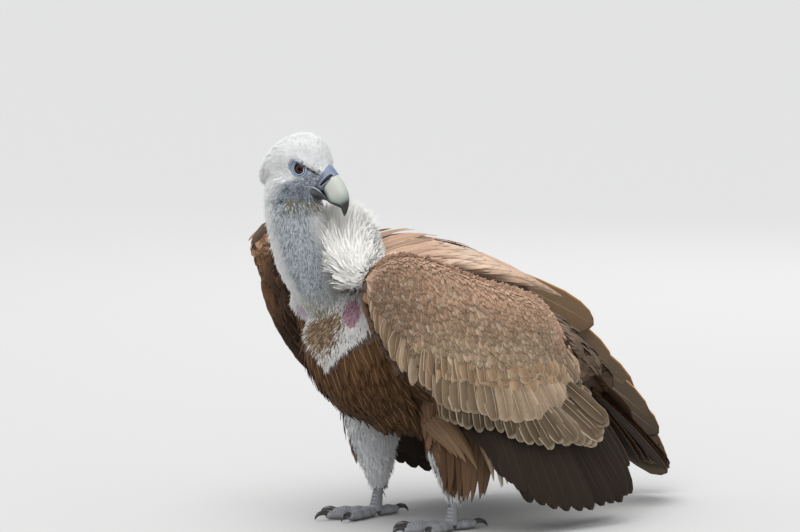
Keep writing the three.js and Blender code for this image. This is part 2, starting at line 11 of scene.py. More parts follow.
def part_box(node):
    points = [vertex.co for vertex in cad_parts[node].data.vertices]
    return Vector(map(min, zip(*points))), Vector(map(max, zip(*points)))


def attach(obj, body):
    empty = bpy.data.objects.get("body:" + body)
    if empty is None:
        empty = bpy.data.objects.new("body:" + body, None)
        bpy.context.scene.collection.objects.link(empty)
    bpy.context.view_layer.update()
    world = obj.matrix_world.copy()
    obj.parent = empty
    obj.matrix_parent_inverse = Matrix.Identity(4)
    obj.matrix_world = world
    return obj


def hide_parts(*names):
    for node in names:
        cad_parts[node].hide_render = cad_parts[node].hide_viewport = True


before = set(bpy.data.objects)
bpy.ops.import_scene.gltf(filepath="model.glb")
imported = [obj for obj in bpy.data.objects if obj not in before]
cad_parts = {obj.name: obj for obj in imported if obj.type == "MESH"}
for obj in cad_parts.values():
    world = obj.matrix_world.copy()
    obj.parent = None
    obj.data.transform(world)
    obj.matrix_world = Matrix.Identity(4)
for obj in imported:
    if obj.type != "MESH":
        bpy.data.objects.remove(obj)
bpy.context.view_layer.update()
bpy.ops.object.select_all(action="DESELECT")


# ---- The bird's own measures
# All sizes below are the bird's, in millimetres: it faces -Y, +X is its left and the floor is z = 0.
# Its eyes tell where that stands in the frame, so every piece goes where the solids are.
EYES_MIDDLE = np.array([11.2, -242.1, 518.4])
eye_corners = [corner for name in ("eye_left", "eye_right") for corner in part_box(name)]
frame_shift = np.mean([list(corner) for corner in eye_corners], axis=0) * 1000 - EYES_MIDDLE


def in_frame(places):
    """The bird's millimetres as metres in the frame."""
    return (np.asarray(places, float) + frame_shift) / 1000


# ---- Camera, light and floor
# A long lens looks at the bird from its left front and a little above. A wide soft sun and two large
# lamps stand in for an overcast sky, over a plain pale floor.
VIEW_FROM = Vector((0.8613, -0.4973, 0.1045))
VIEW_DISTANCE = 6.0
VIEW_AT = (-39.3, -68, 365)
LENS = 189

aim = Vector(in_frame(VIEW_AT))
bpy.ops.object.camera_add(location=aim + VIEW_FROM * VIEW_DISTANCE)
camera = bpy.context.object
camera.rotation_euler = (-VIEW_FROM).to_track_quat("-Z", "Y").to_euler()
camera.data.lens = LENS
camera.data.clip_end = 400
bpy.context.scene.camera = camera

bpy.ops.object.light_add(type="SUN", location=(1, -1.5, 4))
sky_lamp = bpy.context.object
sky_lamp.name = "sky_lamp"
sky_lamp.data.energy = 2.35
sky_lamp.data.angle = math.radians(55)
sky_lamp.rotation_euler = Vector((-0.25, 0.35, -1)).to_track_quat("-Z", "Y").to_euler()
LAMPS = [("front_lamp", (3.2, -2.6, 1.9), 2.0, 26), ("back_lamp", (-2.4, 2.6, 2.2), 2.0, 16)]
for name, spot, size, power in LAMPS:
    bpy.ops.object.light_add(type="AREA", location=spot)
    lamp = bpy.context.object
    lamp.name = name
    lamp.data.size = size
    lamp.data.energy = power
    lamp.rotation_euler = (Vector((0, 0, 0.3)) - Vector(spot)).to_track_quat("-Z", "Y").to_euler()

world = bpy.data.worlds.new("pale_studio")
world.use_nodes = True
world.node_tree.nodes["Background"].inputs["Color"].default_value = (0.9, 0.91, 0.92, 1)
world.node_tree.nodes["Background"].inputs["Strength"].default_value = 0.78
bpy.context.scene.world = world
bpy.context.scene.view_settings.view_transform = "Standard"

bpy.ops.mesh.primitive_plane_add(size=300, location=(0, 0, -0.0008))
floor = bpy.context.object
floor.name = "studio_floor"
floor_paint = bpy.data.materials.new("studio_floor")
floor_paint.use_nodes = True
floor_shader = floor_paint.node_tree.nodes["Principled BSDF"]
floor_shader.inputs["Roughness"].default_value = 0.9
grain = floor_paint.node_tree.nodes.new("ShaderNodeTexNoise")
grain.inputs["Scale"].default_value = 3
grain_tone = floor_paint.node_tree.nodes.new("ShaderNodeValToRGB")
grain_tone.color_ramp.elements[0].color = (0.53, 0.53, 0.525, 1)
grain_tone.color_ramp.elements[1].color = (0.57, 0.57, 0.565, 1)
floor_paint.node_tree.links.new(grain.outputs["Fac"], grain_tone.inputs["Fac"])
floor_paint.node_tree.links.new(grain_tone.outputs["Color"], floor_shader.inputs["Base Color"])
floor.data.materials.append(floor_paint)


# ---- Skin
# One skin covers the body, neck, head, thighs and the arms of the wings, with no seam between them.
# It is built up from lumps along each limb, fused and smoothed, and lies under the coat's depth.
def smooth_line(stations, shares):
    """Rows of numbers along a smooth line through the stations, at shares from 0 to 1."""
    rows = np.array(stations, float)
    padded = np.vstack([2 * rows[0] - rows[1], rows, 2 * rows[-1] - rows[-2]])
    spots = np.asarray(shares, float) * (len(rows) - 1)
    i = np.clip(spots.astype(int), 0, len(rows) - 2)
    f = (spots - i)[:, None]
    a, b, c, d = padded[i], padded[i + 1], padded[i + 2], padded[i + 3]
    return 0.5 * (2 * b + (c - a) * f + (2 * a - 5 * b + 4 * c - d) * f**2 + (3 * b - a - 3 * c + d) * f**3)


def unit(vectors):
    return vectors / np.maximum(np.linalg.norm(vectors, axis=-1, keepdims=True), 1e-9)


HEAD_TURN = math.radians(27)
HEAD_PITCH = math.radians(25)
head_right = np.array([math.sin(HEAD_TURN), -math.cos(HEAD_TURN), 0])
head_level = np.array([math.cos(HEAD_TURN), math.sin(HEAD_TURN), 0])
head_ahead = head_level * math.cos(HEAD_PITCH) + np.array([0, 0, -math.sin(HEAD_PITCH)])
head_up = np.cross(head_right, head_ahead)
head_axes = np.array([head_right, head_ahead, head_up])


def from_head(places):
    """Places in the head's own axes (right, ahead along the bill, up) as the bird's."""
    return EYES_MIDDLE + np.asarray(places, float) @ head_axes


def to_head(places):
    return (np.asarray(places, float) - EYES_MIDDLE) @ head_axes.T


def right_wing(places):
    """Places of the left wing carried over to the right one, whose front is raised a little."""
    x, y, z = (np.asarray(places, float) - [0, 0, 280]).T
    tilt = math.radians(3)
    y, z = y * math.cos(tilt) + z * math.sin(tilt), z * math.cos(tilt) - y * math.sin(tilt)
    return np.stack([-x, y - 4, z + 294], axis=1)


LEFT_FOOT = (84, -56)
RIGHT_FOOT = (-78, -87)
# x, y, z, half width, half height
TORSO = [
    [0, -214, 264, 30, 36], [0, -200, 263, 54, 66], [0, -172, 267, 80, 100], [0, -118, 276, 103, 129],
    [0, -40, 274, 113, 127], [0, 40, 268, 103, 107], [0, 114, 246, 80, 70], [0, 175, 226, 53, 43],
    [0, 208, 210, 26, 22], [0, 234, 180, 15, 8],
]
NECK = [
    [0, -170, 296, 30, 28], [0, -218, 332, 27, 25], [0, -236, 359, 33, 31], [-1, -245, 387, 38, 37],
    [-3, -251, 417, 40, 39], [-7, -256, 447, 39, 39], [-11, -258, 475, 38, 38], [-13, -255, 502, 33, 33],
]
ARM = [
    [148, -213, 360, 7, 18], [152, -206, 354, 11, 38], [158, -192, 345, 14, 56], [165, -172, 327, 17, 75],
    [171, -140, 303, 20, 91], [174, -90, 285, 20, 89], [174, -40, 273, 19, 82], [170, 10, 263, 16, 75],
    [163, 50, 252, 11, 61], [157, 80, 236, 7, 34], [154, 88, 231, 4, 15],
]
FAR_NOSE = [[148, -229, 372, 6, 22], [151, -222, 370, 9, 33], [157, -210, 358, 13, 48]]
UPPER_ARM = [[70, -120, 322, 30, 26], [110, -128, 326, 34, 32], [156, -140, 318, 38, 38]]
HAND = [[142, -206, 318, 5, 10], [140, -180, 276, 6, 18], [139, -110, 226, 6, 24], [137, -30, 172, 6, 22], [132, 28, 144, 5, 14]]
SKULL = [
    [0, -58, -32, 18, 22], [0, -52, -24, 27, 31], [0, -40, -10, 33.5, 36], [0, -20, 1, 35.5, 39],
    [0, 3, 2.5, 31.5, 36.5], [0, 18, -1.5, 23.5, 29], [0, 28, -5, 15.5, 21.5],
]

# The ruff's core, a crescent round the back of the neck: one side, then its middle.
RUFF_CORE = ([[76, -216, 358, 4, 5], [70, -203, 369, 7, 10], [50, -184, 386, 12, 20], [25, -175, 392, 13, 23]],
             [0, -172, 394, 13, 24])


def thigh_of(side, foot):
    x, y = foot
    return [
        [side * 86, y + 2, 214, 31, 50], [side * 88, y + 2, 168, 31, 50], [side * 86, y + 2, 128, 27, 41],
        [side * 85, y + 3, 98, 21, 30], [x, y + 4, 74, 15, 20], [x, y + 5, 58, 11, 14],
    ]


lump_vertices = []
lump_owners = []
SKIN_PARTS = ["torso", "neck", "head", "thigh_left", "thigh_right", "arm_left", "arm_right", "ruff"]


def lumps(owner, stations, count, length, upright=False, carry=None, side=(1, 0, 0)):
    """Ovals set along a line of stations, to be fused later. Length is their half size along it."""
    rows = smooth_line(stations, np.linspace(0, 1, count))
    ahead = unit(np.gradient(rows[:, :3], axis=0))
    for row, way in zip(rows, ahead):
        across = np.array(side, float)
        if upright:
            way, up = np.array([0, 1.0, 0]), np.array([0, 0, 1.0])
        else:
            up = unit(np.cross(across, way))
            across = unit(np.cross(way, up))
        bpy.ops.mesh.primitive_uv_sphere_add(segments=24, ring_count=16)
        ball = bpy.context.object
        co = np.array([v.co for v in ball.data.vertices])
        spots = row[:3] + np.outer(co[:, 0] * row[3], across) + np.outer(co[:, 1] * length, way)
        spots = spots + np.outer(co[:, 2] * row[4], up)
        if carry:
            spots = carry(spots)
        lump_vertices.append(spots)
        lump_owners.extend([SKIN_PARTS.index(owner)] * len(spots))
        ball.data.vertices.foreach_set("co", in_frame(spots).ravel())
        balls.append(ball)


balls = []
lumps("torso", TORSO, 34, 30, upright=True)
lumps("torso", [[-52, -192, 300, 32, 34], [-58, -198, 318, 32, 34]], 3, 30, upright=True)
lumps("neck", NECK, 20, 18)
lumps("head", SKULL, 16, 9, upright=True, carry=from_head)
for side in (-1, 1):
    lumps("head", [[side * 18, -14, 12, 13, 4.5], [side * 22, 1, 13, 12.5, 4.8], [side * 19, 15, 10, 9, 4.4]], 8, 5,
          upright=True, carry=from_head)
    lumps("head", [[side * 17, -34, -26, 14, 10], [side * 15, -12, -28, 13, 8], [side * 11, 8, -27, 9, 6]], 8, 9,
          upright=True, carry=from_head)
lumps("thigh_left", thigh_of(1, LEFT_FOOT), 14, 16)
lumps("thigh_right", thigh_of(-1, RIGHT_FOOT), 14, 16)
for turn in (1, -1):
    crescent = [[row[0] * turn, *row[1:]] for row in [*RUFF_CORE[0], RUFF_CORE[1]]]
    lumps("ruff", crescent, 12, 12, side=(0, 0.94, 0.34))
lumps("arm_left", ARM, 34, 24, upright=True)
lumps("arm_right", ARM, 34, 24, upright=True, carry=right_wing)
lumps("arm_right", FAR_NOSE, 5, 24, upright=True, carry=right_wing)
for owner, carry in (("arm_left", None), ("arm_right", right_wing)):
    lumps(owner, UPPER_ARM, 6, 40, upright=True, carry=carry)
    lumps(owner, HAND, 22, 12, carry=carry)
bpy.ops.object.select_all(action="DESELECT")
for ball in balls:
    ball.select_set(True)
bpy.context.view_layer.objects.active = balls[0]
bpy.ops.object.join()
skin = bpy.context.object
skin.name = "skin"
fuse = skin.modifiers.new("fuse", "REMESH")
fuse.mode = "VOXEL"
fuse.voxel_size = 0.004
soften = skin.modifiers.new("soften", "SMOOTH")
soften.factor = 0.5
soften.iterations = 6
for modifier in ("fuse", "soften"):
    bpy.ops.object.modifier_apply(modifier=modifier)
bpy.ops.object.shade_smooth()
print("skin faces", len(skin.data.polygons))
bpy.ops.object.mode_set(mode="EDIT")
bpy.ops.mesh.select_all(action="SELECT")
bpy.ops.uv.smart_project(angle_limit=math.radians(66), island_margin=0.002)
bpy.ops.object.mode_set(mode="OBJECT")
skin.data.uv_layers[0].name = "OFBake"

skin_count = len(skin.data.vertices)
skin_places = np.zeros(skin_count * 3)
skin.data.vertices.foreach_get("co", skin_places)
skin_places = skin_places.reshape(-1, 3) * 1000 - frame_shift
# The eye sockets are hollowed, so that the lids and brows stand over them.
for turn in (1, -1):
    socket = to_head(skin_places) - [turn * 24.5, 1.2, -0.4]
    around = np.hypot(socket[:, 1], socket[:, 2])
    floor_at = 2.5 + 4.2 * (around / 14) ** 2
    dig = np.where((around < 14) & (socket[:, 0] * turn > 0), np.maximum(socket[:, 0] * turn - floor_at, 0), 0)
    dig = dig * np.clip((9.5 - socket[:, 2]) / 2, 0, 1)
    skin_places = skin_places - np.outer(dig * turn, head_right)
skin.data.vertices.foreach_set("co", in_frame(skin_places).ravel())
skin.data.update()
skin_normals = np.zeros(skin_count * 3)
skin.data.vertices.foreach_get("normal", skin_normals)
skin_normals = skin_normals.reshape(-1, 3)
part_tree = KDTree(len(lump_owners))
for i, spot in enumerate(np.concatenate(lump_vertices)):
    part_tree.insert(spot, i)
part_tree.balance()
skin_owner = np.array([lump_owners[part_tree.find(p)[1]] for p in skin_places])

skin_tree = BVHTree.FromObject(skin, bpy.context.evaluated_depsgraph_get())
loop_uv = np.zeros(len(skin.data.loops) * 2)
skin.data.uv_layers["OFBake"].data.foreach_get("uv", loop_uv)
loop_uv = loop_uv.reshape(-1, 2)
face_uv = np.array([loop_uv[p.loop_start] for p in skin.data.polygons])
print("skin done", frame_shift)



# ---- Wing feathers
# Rows of overlapping vanes grow from each arm: small coverts like scales, then three rows of longer
# ones, then the dark flight feathers. Each vane is a thin closed blade with a ridge for its shaft.
draw = np.random.default_rng(1507)

# Where along a vane, and its half width there as a share of the widest.
ROUND = [(0, 0.35), (0.2, 0.75), (0.45, 0.96), (0.7, 1), (0.85, 0.9), (0.94, 0.66), (0.985, 0.34)]
LANCE = [(0, 0.4), (0.15, 0.8), (0.35, 1), (0.55, 0.9), (0.72, 0.68), (0.86, 0.4), (0.95, 0.18)]
FLIGHT = [(0, 0.25), (0.12, 0.6), (0.3, 0.85), (0.5, 0.96), (0.7, 1), (0.84, 0.92), (0.93, 0.7), (0.98, 0.36)]
LEAF = [(0, 0.4), (0.2, 0.8), (0.45, 1), (0.68, 0.92), (0.84, 0.66), (0.94, 0.36)]
SCALE = [(0, 0.45), (0.35, 0.9), (0.66, 1), (0.85, 0.74), (0.95, 0.38)]
# A vane's section: how far across, and how high as a share of its thickness.
BROAD = [(-1, 0), (-0.5, 0.5), (0, 1), (0.5, 0.5), (1, 0), (0.5, -0.3), (0, -0.3), (-0.5, -0.3)]
SLIM = [(-1, 0), (0, 1), (1, 0), (0, -0.4)]


def colour(*reds):
    """Colours given as 0 to 255, as the linear values that a shader takes."""
    share = np.array(reds, float) / 255
    return np.where(share < 0.04045, share / 12.92, ((share + 0.055) / 1.055) ** 2.4)


def vanes(roots, tips, outs, half, tints, bulge=4.0, roll=0.0, camber=0.1, thick=1.2, shape=ROUND,
          section=BROAD, ragged=0.05, sway=0.0, curve=0.0):
    """Blades from roots to tips, bent up by bulge and sideways by curve, whose upper faces look along outs."""
    count = len(roots)
    roots, tips, outs = (np.asarray(a, float).reshape(-1, 3) for a in (roots, tips, outs))
    facing = unit(outs)
    half, bulge, roll = (np.broadcast_to(np.asarray(a, float), (count,)) for a in (half, bulge, roll))
    ahead = unit(tips - roots)
    outs = unit(outs - ahead * np.sum(outs * ahead, axis=1, keepdims=True))
    beside = np.cross(ahead, outs)
    bend = (roots + tips) / 2 + outs * bulge[:, None] + beside * (curve + sway * draw.normal(size=count))[:, None]
    t = np.array([at for at, wide in shape])[None, :, None]
    spine = (1 - t) ** 2 * roots[:, None] + 2 * t * (1 - t) * bend[:, None] + t**2 * tips[:, None]
    run = unit(2 * (1 - t) * (bend - roots)[:, None] + 2 * t * (tips - bend)[:, None])
    across = unit(np.cross(run, outs[:, None]))
    up = np.cross(across, run)
    turn = roll[:, None, None]
    across, up = across * np.cos(turn) + up * np.sin(turn), up * np.cos(turn) - across * np.sin(turn)
    rings = []
    wide = half[:, None] * np.array([w for at, w in shape])[None]
    chance = draw.random(count)
    for far, high in section:
        rough = 1 + ragged * draw.normal(size=wide.shape) * (abs(far) == 1)
        out_by = far * wide * rough
        rise = high * thick - camber * wide * far**2
        rings.append(spine + across * out_by[..., None] + up * rise[..., None])
    rings = np.stack(rings, axis=2).reshape(count, -1, 3)
    points = np.concatenate([roots[:, None], rings, tips[:, None]], axis=1)
    places = [(0, 0)] + [(at, far) for at, w in shape for far, high in section] + [(1, 0)]
    span = np.concatenate(
        [np.tile(places, (count, 1, 1)), np.broadcast_to(chance[:, None, None], (count, len(places), 1))], axis=2
    )
    tints = np.broadcast_to(np.asarray(tints, float), (count, 3))
    return {"points": points, "span": span, "tints": tints, "roots": roots, "facing": facing, "rings": len(shape),
            "columns": len(section)}


def blade_faces(rings, columns):
    """The faces of one blade: its root's fan, its bands and its tip's fan."""
    last = 1 + rings * columns
    faces = []
    for j in range(columns):
        k = (j + 1) % columns
        faces.append((0, 1 + k, 1 + j))
        faces.append((last, last - columns + j, last - columns + k))
        for i in range(rings - 1):
            a = 1 + i * columns
            faces.append((a + j, a + k, a + columns + k, a + columns + j))
    return faces


def coat_piece(name, batches, paint, sheet=False, crisp=True):
    """Joins batches of blades as one mesh, with each blade's colour and its place along and across itself.
    Its map has each blade as a small patch at its root's place on the skin, or in cells of a sheet.
    Crisp blades keep a sharp edge on either side; the others are shaded softly, as the skin under them."""
    points, spans, tints, uvs, corners, starts = [], [], [], [], [], []
    base = used = done = 0
    whole = sum(len(batch["points"]) for batch in batches)
    cells = math.ceil(math.sqrt(whole))
    for batch in batches:
        count, size = batch["points"].shape[:2]
        faces = blade_faces(batch["rings"], batch["columns"])
        flat = np.array([i for face in faces for i in face])
        sizes = np.array([len(face) for face in faces])
        moves = base + np.arange(count)[:, None] * size
        corners.append((flat[None] + moves).ravel())
        first = np.concatenate([[0], np.cumsum(sizes)[:-1]])
        starts.append((first[None] + used + np.arange(count)[:, None] * len(flat)).ravel())
        along, across = batch["span"][..., 0], batch["span"][..., 1]
        if sheet:
            cell = done + np.arange(count)
            corner = np.stack([cell % cells, cell // cells], axis=1)[:, None] / cells
            uv = corner + (0.04 + 0.92 * np.stack([(across + 1) / 2, along], axis=2)) / cells
        else:
            seat = [face_uv[skin_tree.find_nearest(Vector(p))[2]] for p in in_frame(batch["roots"])]
            uv = np.array(seat)[:, None] + 0.003 * np.stack([across / 2, along - 0.5], axis=2)
        uvs.append(uv.reshape(-1, 2)[corners[-1] - base])
        points.append(batch["points"].reshape(-1, 3))
        spans.append(batch["span"].reshape(-1, 3))
        tints.append(np.repeat(batch["tints"], size, axis=0))
        base += count * size
        used += count * len(flat)
        done += count
    mesh = bpy.data.meshes.new(name)
    mesh.vertices.add(base)
    mesh.vertices.foreach_set("co", in_frame(np.concatenate(points)).ravel())
    corners, starts = np.concatenate(corners), np.concatenate(starts)
    mesh.loops.add(len(corners))
    mesh.loops.foreach_set("vertex_index", corners)
    mesh.polygons.add(len(starts))
    mesh.polygons.foreach_set("loop_start", starts)
    mesh.update(calc_edges=True)
    mesh.uv_layers.new(name="OFBake").data.foreach_set("uv", np.concatenate(uvs).ravel())
    span = np.concatenate(spans)
    mesh.attributes.new("span", "FLOAT_VECTOR", "POINT").data.foreach_set("vector", span.ravel())
    edges = np.zeros(len(mesh.edges) * 2, np.int32)
    mesh.edges.foreach_get("vertices", edges)
    sharp = (np.abs(span[:, 1]) == 1)[edges.reshape(-1, 2)].all(axis=1) & crisp
    mesh.attributes.new("sharp_edge", "BOOLEAN", "EDGE").data.foreach_set("value", sharp)
    tint = np.concatenate(tints)
    tint = np.concatenate([tint, np.ones((len(tint), 1))], axis=1)
    mesh.attributes.new("tint", "FLOAT_COLOR", "POINT").data.foreach_set("color", tint.ravel())
    mesh.polygons.foreach_set("use_smooth", np.ones(len(starts), bool))
    if not crisp:
        soft = [np.repeat(batch["facing"], batch["points"].shape[1], axis=0) for batch in batches]
        mesh.normals_split_custom_set_from_vertices(np.concatenate(soft).tolist())
    mesh.materials.append(paint)
    piece = bpy.data.objects.new(name, mesh)
    bpy.context.scene.collection.objects.link(piece)
    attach(piece, "root")
    print(name, "blades", done, "triangles", len(corners) - 2 * len(starts))
    return piece


def reckon(tree, operation, *inputs, clamp=False):
    """A Math node of a material, fed with sockets or numbers."""
    node = tree.nodes.new("ShaderNodeMath")
    node.operation = operation
    node.use_clamp = clamp
    for socket, value in zip(node.inputs, inputs):
        if isinstance(value, (int, float)):
            socket.default_value = value
        else:
            tree.links.new(value, socket)
    return node.outputs[0]


def blend(tree, share, one, two, mode="MIX"):
    """A Mix node of colours, from one to two by share."""
    node = tree.nodes.new("ShaderNodeMix")
    node.data_type = "RGBA"
    node.blend_type = mode
    for socket, value in ((node.inputs[0], share), (node.inputs[6], one), (node.inputs[7], two)):
        if isinstance(value, bpy.types.NodeSocket):
            tree.links.new(value, socket)
        else:
            socket.default_value = value
    return node.outputs[2]


def feather_paint(name, shaft, shaft_width, edge, edge_share, root_shade=0.5, barbs=0.16, rough=0.8, core=0.0,
                  one_side=False):
    """A vane's finish: its own tint, darker in the middle, with painted shade towards the root, a shaft line, barbs and
    an edge.
    """
    paint = bpy.data.materials.new(name)
    paint.use_nodes = True
    tree = paint.node_tree
    shader = tree.nodes["Principled BSDF"]
    shader.inputs["Roughness"].default_value = rough
    shader.inputs["Specular IOR Level"].default_value = 0.15
    tint = tree.nodes.new("ShaderNodeAttribute")
    tint.attribute_name = "tint"
    span = tree.nodes.new("ShaderNodeAttribute")
    span.attribute_name = "span"
    parts = tree.nodes.new("ShaderNodeSeparateXYZ")
    tree.links.new(span.outputs["Vector"], parts.inputs[0])
    along, across, chance = parts.outputs
    away = reckon(tree, "ABSOLUTE", across)
    # Barbs slant from the shaft towards the tip.
    slant = reckon(tree, "MULTIPLY", reckon(tree, "SUBTRACT", along, reckon(tree, "MULTIPLY", away, 0.16)), 60)
    fan = tree.nodes.new("ShaderNodeCombineXYZ")
    tree.links.new(slant, fan.inputs[0])
    tree.links.new(reckon(tree, "MULTIPLY", across, 1.2), fan.inputs[1])
    tree.links.new(reckon(tree, "MULTIPLY", chance, 90), fan.inputs[2])
    noise = tree.nodes.new("ShaderNodeTexNoise")
    noise.inputs["Scale"].default_value = 1
    noise.inputs["Detail"].default_value = 3
    tree.links.new(fan.outputs[0], noise.inputs["Vector"])
    grain = reckon(tree, "MULTIPLY_ADD", noise.outputs["Fac"], 2 * barbs, 1 - barbs)
    # Painted shade: the vane darkens towards its root, where the feathers lying over it would shade it.
    deep = reckon(tree, "MULTIPLY_ADD", reckon(tree, "MULTIPLY", along, 2.2, clamp=True), 1 - root_shade, root_shade)
    lit = reckon(tree, "MULTIPLY", grain, deep)
    if core:
        middle = reckon(tree, "MULTIPLY_ADD", reckon(tree, "MULTIPLY", away, 1.5, clamp=True), core, 1 - core)
        lit = reckon(tree, "MULTIPLY", lit, middle)
    shade = tree.nodes.new("ShaderNodeVectorMath")
    shade.operation = "SCALE"
    tree.links.new(tint.outputs["Color"], shade.inputs[0])
    tree.links.new(lit, shade.inputs["Scale"])
    # The one-sided rim, used by the inner feathers, is a painted glow of light shining through that edge.
    if one_side:
        rim = reckon(tree, "MAXIMUM", across, reckon(tree, "MULTIPLY_ADD", along, 8, -7.1))
    else:
        rim = reckon(tree, "MAXIMUM", away, reckon(tree, "MULTIPLY_ADD", along, 2.6, -1.6))
    rim = reckon(tree, "MULTIPLY_ADD", rim, 1 / edge_share, 1 - 1 / edge_share, clamp=True)
    if not one_side:
        rim = reckon(tree, "MULTIPLY", rim, reckon(tree, "MULTIPLY_ADD", chance, 0.6, 0.15))
    body = blend(tree, rim, shade.outputs[0], (*edge, 1))
    line = reckon(tree, "SUBTRACT", 1, reckon(tree, "MULTIPLY", away, 1 / shaft_width), clamp=True)
    line = reckon(tree, "MULTIPLY", line, reckon(tree, "MULTIPLY_ADD", along, -4, 4, clamp=True))
    tree.links.new(blend(tree, line, body, (*shaft, 1)), shader.inputs["Base Color"])
    bump = tree.nodes.new("ShaderNodeBump")
    bump.inputs["Strength"].default_value = 0.25
    bump.inputs["Distance"].default_value = 0.0006
    tree.links.new(noise.outputs["Fac"], bump.inputs["Height"])
    tree.links.new(bump.outputs[0], shader.inputs["Normal"])
    return paint


# The arm's outer shape; at its front the fused skin reaches before the first lumps.
PANEL = [
    [148, -236, 356, 3, 9], [149, -228, 357, 6, 18], [151, -219, 355, 9.5, 31], [155, -208, 351, 11.5, 43],
    [159, -196, 346, 14, 54], *ARM[3:],
]
arm_table = smooth_line(PANEL, np.linspace(0, 1, 200))
ARM_COAT = 6  # how far the small coverts' tips stand off the skin
ARM_POWER = 2.2


def on_panel(y, z, lift=0.0, side=1):
    """The place on the left wing's outer face, or its inner face for side -1, that lies at y and z."""
    x0, z0, wide, high = (np.interp(y, arm_table[:, 1], arm_table[:, k]) for k in (0, 2, 3, 4))
    rise = np.clip(np.abs(z - z0) / np.maximum(high, 1), 0, 1) ** ARM_POWER
    return np.stack([x0 + side * (wide * (1 - rise) ** (1 / ARM_POWER) + lift), y, z], axis=1)


def panel_out(y, z, side=1):
    step = 3.0
    dy = on_panel(y + step, z, side=side) - on_panel(y - step, z, side=side)
    dz = on_panel(y, z + step, side=side) - on_panel(y, z - step, side=side)
    facing = np.cross(dy, dz)
    facing *= np.sign(facing[:, :1]) * side
    return unit(facing + [0.25 * side, 0, 0])


# The way that coverts point, in degrees up from straight back, from the wing's front to its rear.
LIE_PLACES = [-245, -200, -150, -60, 20, 83, 140]
LIE = [-96, -95, -91, -80, -66, -52, -44]
TOP_EDGE = [
    [-229, 352], [-225, 378], [-208, 403], [-185, 410], [-154, 404], [-118, 391], [-70, 372], [-20, 357], [20, 343],
    [46, 325], [68, 298], [86, 268], [104, 232],
]
LESSER_END = [
    [-221, 312], [-205, 276], [-180, 236], [-140, 222], [-91, 226], [-42, 220], [10, 220], [55, 215], [84, 206],
    [108, 206],
]
LESSER_TINTS = [
    colour(201, 166, 143), colour(176, 142, 117), colour(152, 124, 102), colour(158, 134, 110), colour(168, 144, 116),
]
FRONT_TINT = colour(100, 76, 57)


def lie_of(y):
    turn = np.radians(np.interp(y, LIE_PLACES, LIE))
    return np.cos(turn), np.sin(turn)


def inside_tint(y, z):
    """The colour of a wing's inner face: reddish brown along its front edge, dark behind that."""
    rim = np.interp(z, [206, 236, 276, 314, 352, 382], [-140, -180, -212, -236, -246, -236]) + 18
    share = np.clip((y - rim) / 12 + 0.5, 0, 1)[:, None]
    share = share * np.clip((376 - z) / 24, 0, 1)[:, None]
    front = shades([colour(84, 66, 53), colour(122, 92, 71), colour(156, 122, 98)], np.clip((z - 285) / 100, 0, 1))
    return front * (1 - share) + np.array(colour(60, 45, 35)) * share


def lesser_coverts(side, front_edge, nose=0):
    """Small coverts in rows from the wing's upper edge down, larger towards the last row. The nose is how
    much farther forward the upper rows begin."""
    batches = []
    rows = 31
    for k in range(rows):
        share = 0.36 * k / (rows - 1) + 0.64 * (k / (rows - 1)) ** 2
        if side < 0 and k < 3:
            continue
        half = 2.8 + 3.2 * share if side < 0 and nose else 3.2 + 4.8 * share
        count = int(round(400 / (half * (1.35 if side > 0 else 1.6))))
        u = (np.arange(count) + 0.5 * (k % 2) + 0.5 * draw.random(count)) / count
        u = np.clip(u, 0, 1)
        spots = smooth_line(TOP_EDGE, u) * (1 - share) + smooth_line(LESSER_END, u) * share
        forward = nose * np.clip((-160 - spots[:, 0]) / 60, 0, 1) * np.clip((spots[:, 1] - 300) / 60, 0, 1)
        y = spots[:, 0] - forward + draw.normal(size=count) * (1.0 + share)
        z = spots[:, 1] + draw.normal(size=count) * (1.4 + 1.8 * share)
        along_y, along_z = lie_of(y + 8 * draw.normal(size=count))
        length = (17 + 32 * share) * (1 + 0.12 * draw.normal(size=count))
        tips = on_panel(y, z, ARM_COAT + 0.5 + 1.2 * draw.random(count), side)
        root_y = y - along_y * length
        crest = np.interp(root_y, arm_table[:, 1], arm_table[:, 2] + arm_table[:, 4])
        roots = on_panel(root_y, np.minimum(z - along_z * length, crest), 1.0, side)
        over = np.linalg.norm(roots - tips, axis=1) > length * 1.9
        outs = panel_out(y, z, side)
        mixed = np.array([np.interp(share, np.linspace(0, 1, 5), [t[c] for t in LESSER_TINTS]) for c in range(3)])
        front = np.clip((-130 - y) / 90, 0, 1)[:, None] * min(1.0, 0.45 + share * 3)
        front *= 0.5 if nose else 0.8
        tints = (mixed * (1 - front) + FRONT_TINT * front) * (1 + 0.13 * draw.normal(size=(count, 1)))
        worn = draw.random((count, 1)) < 0.15 * np.clip(3 * share, 0, 1)
        tints = np.where(worn, tints * 0.75 + np.array(colour(205, 190, 172)) * 0.25, tints)
        if side < 0:
            tints = inside_tint(y, z) * (1 + 0.12 * draw.normal(size=(count, 1)))
        keep = ~over & (y > front_edge)
        batches.append(vanes(roots[keep], tips[keep], outs[keep], half * 1.2, np.clip(tints[keep], 0.01, 1), camber=0.05,
                             bulge=1.2 + share, roll=0.07 * side, shape=LANCE if share < 0.25 else LEAF, section=SLIM,
                             thick=0.5, sway=1.6, ragged=0.08))
    return batches


